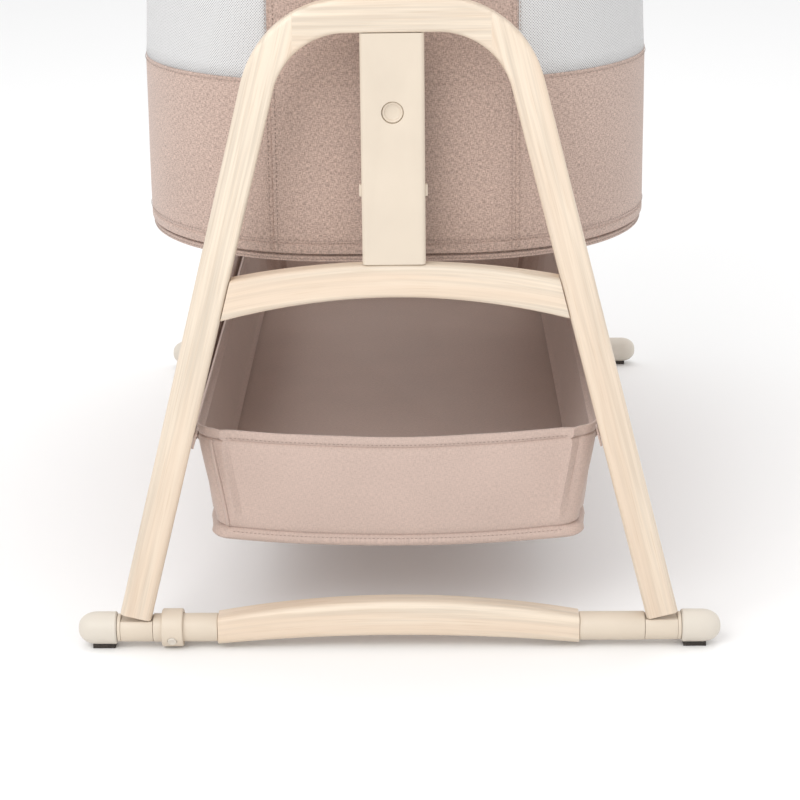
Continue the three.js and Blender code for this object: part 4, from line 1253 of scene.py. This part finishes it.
def round_wire(made, radius):
    """Makes a mesh of bare edges into a round cord."""
    skin = made.modifiers.new("Skin", "SKIN")
    skin.use_smooth_shade = True
    for point in made.data.skin_vertices[0].data:
        point.radius = (radius, radius)
    settle(made)


# ---- Basket --------------------------------------------------------------------------------------


class Bag:
    """The basket's hanging cloth: where each point of its plain outline lies at a level above its floor."""

    taper = Vector((0.011, 0.008, 0))
    band = 0.0125
    hem = 0.0100
    fold_in = 0.0125

    def __init__(self, soft):
        self.soft = soft
        self.low, self.high = BASKET
        self.height = self.high.z - self.low.z

    def puff(self, level):
        """How far the cloth stands out at a level: a rolled bottom band, and a nick at each seam."""
        nicks = sum(math.exp(-((level - seam) / 0.0013) ** 2) for seam in (self.band, self.height - self.hem))
        share = min(1.0, level / self.band)
        roll = 0.0030 * math.sin(math.pi * share ** 0.6) - 0.0040 * (1 - share) ** 3
        return roll - 0.0022 * nicks

    def at(self, flat, level):
        """Where the hanging cloth lies: tapered, pinched in at the corners, creased and sagging."""
        share = level / self.height
        across, along = abs(flat.x) / self.high.x, abs(flat.y) / self.high.y
        at_end = max(0.0, min(1.0, (abs(flat.y) - self.high.y + 0.045) / 0.02))
        mid, long_mid = 1 - min(1.0, across) ** 2, 1 - min(1.0, along) ** 2
        puff = self.puff(level)
        pinch = 0.0055 * math.sin(math.pi * min(1.0, (1 - share) * 0.56)) ** 2 * min(1.0, level / self.band)
        x = flat.x * (1 - (self.taper.x * (1 - share) - puff + pinch * at_end) / self.high.x)
        y = flat.y * (1 - (self.taper.y * (1 - share) - puff) / self.high.y)
        rise = max(0.0, level - self.band) / 0.045
        fold = math.exp(-((self.high.x - abs(flat.x) - self.fold_in - 0.010) / 0.0045) ** 2)
        fold *= rise * math.exp(1 - rise) * 0.0065 * at_end
        belly_out = 0.0040 * math.sin(math.pi * share) * mid * at_end
        crease = 0.0016 * math.sin(across * 19 + share * 3) * across ** 6 * math.sin(math.pi * share) * at_end
        wave = 0.0012 * noise.noise(Vector((flat.x, flat.y, level)) * 16) * at_end
        x += math.copysign(0.004 * math.sin(math.pi * share) * (1 - at_end) * long_mid, flat.x)
        y += math.copysign(belly_out + crease + wave - fold, flat.y)
        sag = self.soft.basket_sag * mid * at_end * share
        belly = self.soft.basket_belly * (1 - share) * (mid if at_end > 0.5 else 0.35 * long_mid)
        return Vector((x, y, self.low.z + level - sag - belly))


def basket_plan(bm, soft, spacing=0.006):
    """The basket's floor outline as one face with round corners and short edges."""
    face = section(bm, 2 * BASKET[1].x, 2 * BASKET[1].y, soft.basket_corner, 8)
    for edge in list(face.edges):
        cuts = int(edge.calc_length() / spacing) - 1
        if cuts > 0:
            bmesh.ops.subdivide_edges(bm, edges=[edge], cuts=cuts)
    return face


def make_basket(soft):
    bag = Bag(soft)
    low, high, height = bag.low, bag.high, bag.height
    rows = 16
    levels = [0.0, 0.0015, 0.004, 0.007, 0.0095, 0.0112, bag.band, 0.0138]
    levels += [0.0155 + (height - bag.hem - 0.0195) * row / rows for row in range(rows + 1)]
    levels += [height - bag.hem + nick for nick in (-0.0013, 0.0, 0.0013, 0.004, 0.0085)] + [height]
    bm = bmesh.new()
    face = basket_plan(bm, soft)
    edges = list(face.edges)
    bottom = edges
    bmesh.ops.delete(bm, geom=[face], context="FACES_ONLY")
    flat_layer = bm.verts.layers.float_vector.new("flat")
    for level in levels:
        if level > 0:
            made = bmesh.ops.extrude_edge_only(bm, edges=edges)["geom"]
            verts = set(picked(made, bmesh.types.BMVert))
            edges = [e for e in picked(made, bmesh.types.BMEdge) if all(v in verts for v in e.verts)]
        for vert in {v for e in edges for v in e.verts}:
            vert.co.z = level
    for vert in bm.verts:
        vert[flat_layer] = vert.co
    floor = bmesh.ops.extrude_edge_only(bm, edges=bottom)["geom"]
    floor_verts = set(picked(floor, bmesh.types.BMVert))
    for vert in bm.verts:
        vert.co = bag.at(vert[flat_layer], vert[flat_layer].z)
    for vert in floor_verts:
        vert.co.x *= 0.9
        vert.co.y *= 0.96
        vert.co.z -= 0.0006
    rim = [e for e in picked(floor, bmesh.types.BMEdge) if all(v in floor_verts for v in e.verts)]
    bmesh.ops.holes_fill(bm, edges=rim, sides=0)
    bmesh.ops.recalc_face_normals(bm, faces=bm.faces)
    outer = max(bm.faces, key=lambda f: f.calc_center_median().x)
    if outer.normal.x < 0:
        bmesh.ops.reverse_faces(bm, faces=bm.faces)

    def weave(co):
        if co.z < low.z + 0.002 and abs(co.x) < 0.9 * high.x - 0.01:
            return (co.x + 2.1, co.y, 0)
        end = abs(co.y) - high.y > abs(co.x) - high.x
        return (co.x if end else co.y + 0.9, co.z, 0)

    coordinates(bm, "weave", weave)
    cloth = piece("basket_cloth", bm, "basket_linen", "stand", ["basket"])
    cloth_wall(cloth, 0.0022)
    return cloth


def make_basket_board():
    """The stiff floor board in its own cloth."""
    low, high = BOARD
    spread = Vector((0.0045, 0.0045, 0))
    bm = bmesh.new()
    block(bm, low - spread, high + spread)
    bmesh.ops.bevel(
        bm, geom=[e for e in bm.edges if abs(e.verts[0].co.z - e.verts[1].co.z) > 1e-4], offset=0.012,
        offset_type="OFFSET", segments=6, profile=0.5, affect="EDGES", material=-1,
    )
    soften(bm, 0.0016, 3, 60)
    coordinates(bm, "weave", lambda co: (co.x + 2.1, co.y, 0))
    return piece("basket_floor_board", bm, "basket_linen", "stand", ["basket_board"])


def make_side_tubes():
    radius = (TUBE[1].x - TUBE[0].x) / 2
    middle = Vector(((TUBE[0].x + TUBE[1].x) / 2, 0, (TUBE[0].z + TUBE[1].z) / 2))
    reach = TUBE[1].y - TUBE[0].y
    for side in SIDES:
        name = SIDE_NAMES[side]
        bm = bmesh.new()
        place = Matrix.Translation((middle.x, TUBE[1].y, middle.z)) @ Matrix.Rotation(math.pi / 2, 4, "X")
        turned(bm, [(0, 0), (radius, 0), (radius, reach), (0, reach)], place, 40)
        soften(bm, 0.0006, 2)
        mirror_side(bm, side)
        piece(f"{name}_steel_tube", bm, "white_steel", "stand", [f"{name}_side_tube"])
        make_sleeve_cloth(side, middle, radius)


def make_sleeve_cloth(side, middle, radius):
    """The basket's side hem, looped over the tube."""
    half = BASKET[1].y - 0.03
    around = radius + 0.0011
    drop = 0.016
    wall_x, wall_z = BASKET[1].x - 0.0008, middle.z - drop
    steps, wrap = 18, 290
    bm = bmesh.new()
    verts = [bm.verts.new((wall_x, -half, wall_z))]
    for step in range(steps + 1):
        turn = math.radians(200 - wrap * step / steps)
        across, rise = around * math.cos(turn), around * math.sin(turn)
        verts.append(bm.verts.new((middle.x + across, -half, middle.z + rise)))
    verts.append(bm.verts.new((wall_x + 0.0012, -half, wall_z + 0.001)))
    edges = [bm.edges.new(pair) for pair in zip(verts, verts[1:])]
    pieces_long = 60
    for _ in range(pieces_long):
        made = bmesh.ops.extrude_edge_only(bm, edges=edges)["geom"]
        new = picked(made, bmesh.types.BMVert)
        bmesh.ops.translate(bm, vec=(0, 2 * half / pieces_long, 0), verts=new)
        found = set(new)
        edges = [e for e in picked(made, bmesh.types.BMEdge) if all(v in found for v in e.verts)]
    for vert in bm.verts:
        below = max(0.0, middle.z - vert.co.z) / drop
        vert.co.x += 0.0010 * below * noise.noise(Vector((7.0, vert.co.y * 30, 0)))
    bmesh.ops.recalc_face_normals(bm, faces=bm.faces)
    coordinates(bm, "weave", lambda co: (co.y + 0.9, co.z * 1.4 + co.x, 0))
    mirror_side(bm, side)
    name = SIDE_NAMES[side]
    made = piece(f"{name}_tube_sleeve", bm, "basket_linen", "stand")
    cloth_wall(made, 0.0009, 1.0)


def make_basket_seams(soft):
    """Stitch rows on the basket's hems, and the corner piping."""
    bag = Bag(soft)
    steps = 40
    reach = bag.high.x - 0.02
    bm = bmesh.new()
    for end in SIDES:
        for level in (bag.height - bag.hem + 0.0026, bag.band - 0.0028):
            points = []
            for step in range(steps + 1):
                flat = Vector((reach * (2 * step / steps - 1), end * bag.high.y, 0))
                points.append(bag.at(flat, level) + Vector((0, end * 0.0002, 0)))
            stitches(bm, points, [Vector((0, end, 0))] * steps, soft.stitch)
    piece("basket_stitching", bm, "thread_and_seam_shade", "stand")
    bm = bmesh.new()
    first, last = bag.band + 0.002, bag.height - bag.hem - 0.001
    for end in SIDES:
        for side in SIDES:
            flat = Vector((side * (bag.high.x - bag.fold_in), end * bag.high.y, 0))
            verts = []
            for step in range(steps + 1):
                point = bag.at(flat, first + (last - first) * step / steps)
                verts.append(bm.verts.new(point + Vector((0, end * 0.0002, 0))))
            for pair in zip(verts, verts[1:]):
                bm.edges.new(pair)
    made = piece("basket_corner_piping", bm, "basket_linen", "stand")
    round_wire(made, 0.0012)
    return made


def make_straps(end):
    for side in SIDES:
        name = f"{end}_{SIDE_NAMES[side]}_strap"
        bm = copy_of(name)
        soften(bm, 0.0005, 2, 50)
        coordinates(bm, "weave", lambda co: (co.y, co.z, 0))
        piece(f"{end}_{SIDE_NAMES[side]}_web_strap", bm, "basket_linen", "stand", [name])


# ---- Stage ---------------------------------------------------------------------------------------


def make_stage(tones):
    bm = bmesh.new()
    bmesh.ops.create_grid(bm, x_segments=1, y_segments=1, size=12)
    mesh = bpy.data.meshes.new("studio_floor")
    bm.to_mesh(mesh)
    bm.free()
    floor = bpy.data.objects.new("studio_floor", mesh)
    bpy.context.scene.collection.objects.link(floor)
    g = Graph("studio_floor", 0.7)
    g.shader.inputs["Specular IOR Level"].default_value = 0.1
    cloud = g.noise(g.place(None, (0.6, 0.6, 0.6)), 1.0)
    mesh.materials.append(g.done(g.ramp(cloud, (0.3, shade(tones.floor, 0.995)), (0.7, tuple(tones.floor)))))
    lamp("key", (-1.5, -2.9, 2.7), (0, -0.2, 0.25), 2.4, 62)
    lamp("fill", (2.4, -2.2, 1.5), (0, -0.2, 0.3), 2.2, 5)
    lamp("top", (0.2, 0.6, 3.2), (0, 0, 0.2), 2.6, 22)
    world = bpy.data.worlds.new("studio")
    world.use_nodes = True
    world.node_tree.nodes["Background"].inputs["Color"].default_value = (1, 1, 1, 1)
    world.node_tree.nodes["Background"].inputs["Strength"].default_value = 0.95
    bpy.context.scene.world = world
    bpy.context.scene.view_settings.view_transform = "Standard"
    make_camera()


def lamp(name, place, target, size, power):
    data = bpy.data.lights.new(name, "AREA")
    data.size, data.energy = size, power
    made = bpy.data.objects.new(name + "_light", data)
    bpy.context.scene.collection.objects.link(made)
    made.location = place
    made.rotation_euler = (Vector(target) - Vector(place)).to_track_quat("-Z", "Y").to_euler()


def make_camera():
    """The camera, low in front of one end and looking along the bassinet."""
    yaw, pitch, roll = math.radians(-1.817), math.radians(16.975), math.radians(-0.977)
    heading = Vector((math.sin(yaw), math.cos(yaw), 0))
    right = Vector((math.cos(yaw), -math.sin(yaw), 0))
    up = Vector((0, 0, 1))
    forward = math.cos(pitch) * heading - math.sin(pitch) * up
    down = -math.sin(pitch) * heading - math.cos(pitch) * up
    tilted_right = math.cos(roll) * right - math.sin(roll) * down
    tilted_down = math.sin(roll) * right + math.cos(roll) * down
    data = bpy.data.cameras.new("camera")
    data.sensor_width = 36
    data.lens = 106.1
    data.shift_x, data.shift_y = 0.0625, -0.0375
    data.clip_end = 60
    made = bpy.data.objects.new("camera", data)
    bpy.context.scene.collection.objects.link(made)
    turn = Matrix((tilted_right, -tilted_down, -forward)).transposed().to_4x4()
    made.matrix_world = Matrix.Translation((0.0224, -2.3686, 0.8481)) @ turn
    bpy.context.scene.camera = made


# ---- Operators -----------------------------------------------------------------------------------


class BuildArches(bpy.types.Operator):
    """Bend the two arches and fit their cross bars."""

    bl_idname = "bassinet.build_arches"
    bl_label = "Arches and cross bars"

    def execute(self, context):
        for end in ENDS:
            make_arch(end, context.scene.bassinet_frame)
            make_cross_bar(end, context.scene.bassinet_frame)
        return {"FINISHED"}


class BuildRails(bpy.types.Operator):
    """Build the turning foot rails with their sleeves, lock rings, caps and pads."""

    bl_idname = "bassinet.build_rails"
    bl_label = "Foot rails"

    def execute(self, context):
        sizes = context.scene.bassinet_frame
        for end in ENDS:
            make_rail_bar(end, sizes)
            make_ring(end)
            make_ring_button(end)
            for side in SIDES:
                make_sleeve(end, side)
                make_collar(end, side, sizes)
                make_cap(end, side, sizes)
                make_pad(end, side)
        return {"FINISHED"}


class BuildColumns(bpy.types.Operator):
    """Build the height columns, their buttons and the bassinet's hangers."""

    bl_idname = "bassinet.build_columns"
    bl_label = "Columns and hangers"

    def execute(self, context):
        for end in ENDS:
            make_column(end, context.scene.bassinet_frame)
            make_column_back(end)
            make_height_button(end)
            make_hanger(end)
        return {"FINISHED"}


class BuildCover(bpy.types.Operator):
    """Sew the bassinet's cover, its end linings, base trim and stitching."""

    bl_idname = "bassinet.build_cover"
    bl_label = "Bassinet cover"

    def execute(self, context):
        soft = context.scene.bassinet_soft
        make_cover(soft)
        make_cover_seams(soft)
        make_end_lining(soft)
        make_trim(soft)
        return {"FINISHED"}


class BuildWindows(bpy.types.Operator):
    """Stretch the knitted windows round the sides."""

    bl_idname = "bassinet.build_windows"
    bl_label = "Mesh windows"

    def execute(self, context):
        make_windows(context.scene.bassinet_soft)
        return {"FINISHED"}


class BuildRim(bpy.types.Operator):
    """Pad the rim over the top hoop."""

    bl_idname = "bassinet.build_rim"
    bl_label = "Padded rim"

    def execute(self, context):
        make_rim(context.scene.bassinet_soft)
        return {"FINISHED"}


class BuildMattress(bpy.types.Operator):
    """Fill the mattress and pipe its edge."""

    bl_idname = "bassinet.build_mattress"
    bl_label = "Mattress"

    def execute(self, context):
        make_mattress(context.scene.bassinet_soft)
        return {"FINISHED"}


class BuildBasket(bpy.types.Operator):
    """Hang the storage basket between the side tubes."""

    bl_idname = "bassinet.build_basket"
    bl_label = "Storage basket"

    def execute(self, context):
        soft = context.scene.bassinet_soft
        make_basket(soft)
        make_basket_board()
        make_side_tubes()
        make_basket_seams(soft)
        for end in ENDS:
            make_straps(end)
        return {"FINISHED"}


class FinishFrame(bpy.types.Operator):
    """Give the carried-over parts of the frame their finishes."""

    bl_idname = "bassinet.finish_frame"
    bl_label = "Hidden parts"

    def execute(self, context):
        finishes = {
            "front_release_bar": "steel", "rear_release_bar": "steel", "top_hoop": "white_steel",
            "base_hoop": "white_steel", "base_board": "fibreboard",
        }
        for node, finish in finishes.items():
            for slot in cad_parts[node].material_slots:
                slot.material = material(finish)
        return {"FINISHED"}


class BuildStage(bpy.types.Operator):
    """Lay the floor and set the lights and the camera."""

    bl_idname = "bassinet.build_stage"
    bl_label = "Stage"

    def execute(self, context):
        make_stage(context.scene.bassinet_finishes)
        return {"FINISHED"}


BUILDERS = (
    BuildStage, BuildArches, BuildRails, BuildColumns, BuildCover, BuildWindows, BuildRim, BuildMattress,
    BuildBasket, FinishFrame,
)


class BassinetPanel(bpy.types.Panel):
    """Sizes, colours and building steps of the bassinet."""

    bl_idname = "VIEW3D_PT_bassinet"
    bl_label = "Bassinet"
    bl_space_type = "VIEW_3D"
    bl_region_type = "UI"
    bl_category = "Bassinet"

    def draw(self, context):
        for group in ("bassinet_frame", "bassinet_soft", "bassinet_finishes"):
            values = getattr(context.scene, group)
            box = self.layout.box()
            for key in values.__annotations__:
                box.prop(values, key)
        for builder in BUILDERS:
            self.layout.operator(builder.bl_idname)


GROUPS = {"bassinet_frame": FrameSizes, "bassinet_soft": SoftSizes, "bassinet_finishes": Finishes}


def register():
    for cls in (*GROUPS.values(), *BUILDERS, BassinetPanel):
        bpy.utils.register_class(cls)
    for name, group in GROUPS.items():
        setattr(bpy.types.Scene, name, PointerProperty(type=group))


def unregister():
    for name in GROUPS:
        delattr(bpy.types.Scene, name)
    for cls in reversed((*GROUPS.values(), *BUILDERS, BassinetPanel)):
        bpy.utils.unregister_class(cls)


def main():
    register()
    for builder in BUILDERS:
        group, name = builder.bl_idname.split(".")
        getattr(getattr(bpy.ops, group), name)()


if __name__ == "__main__":
    main()
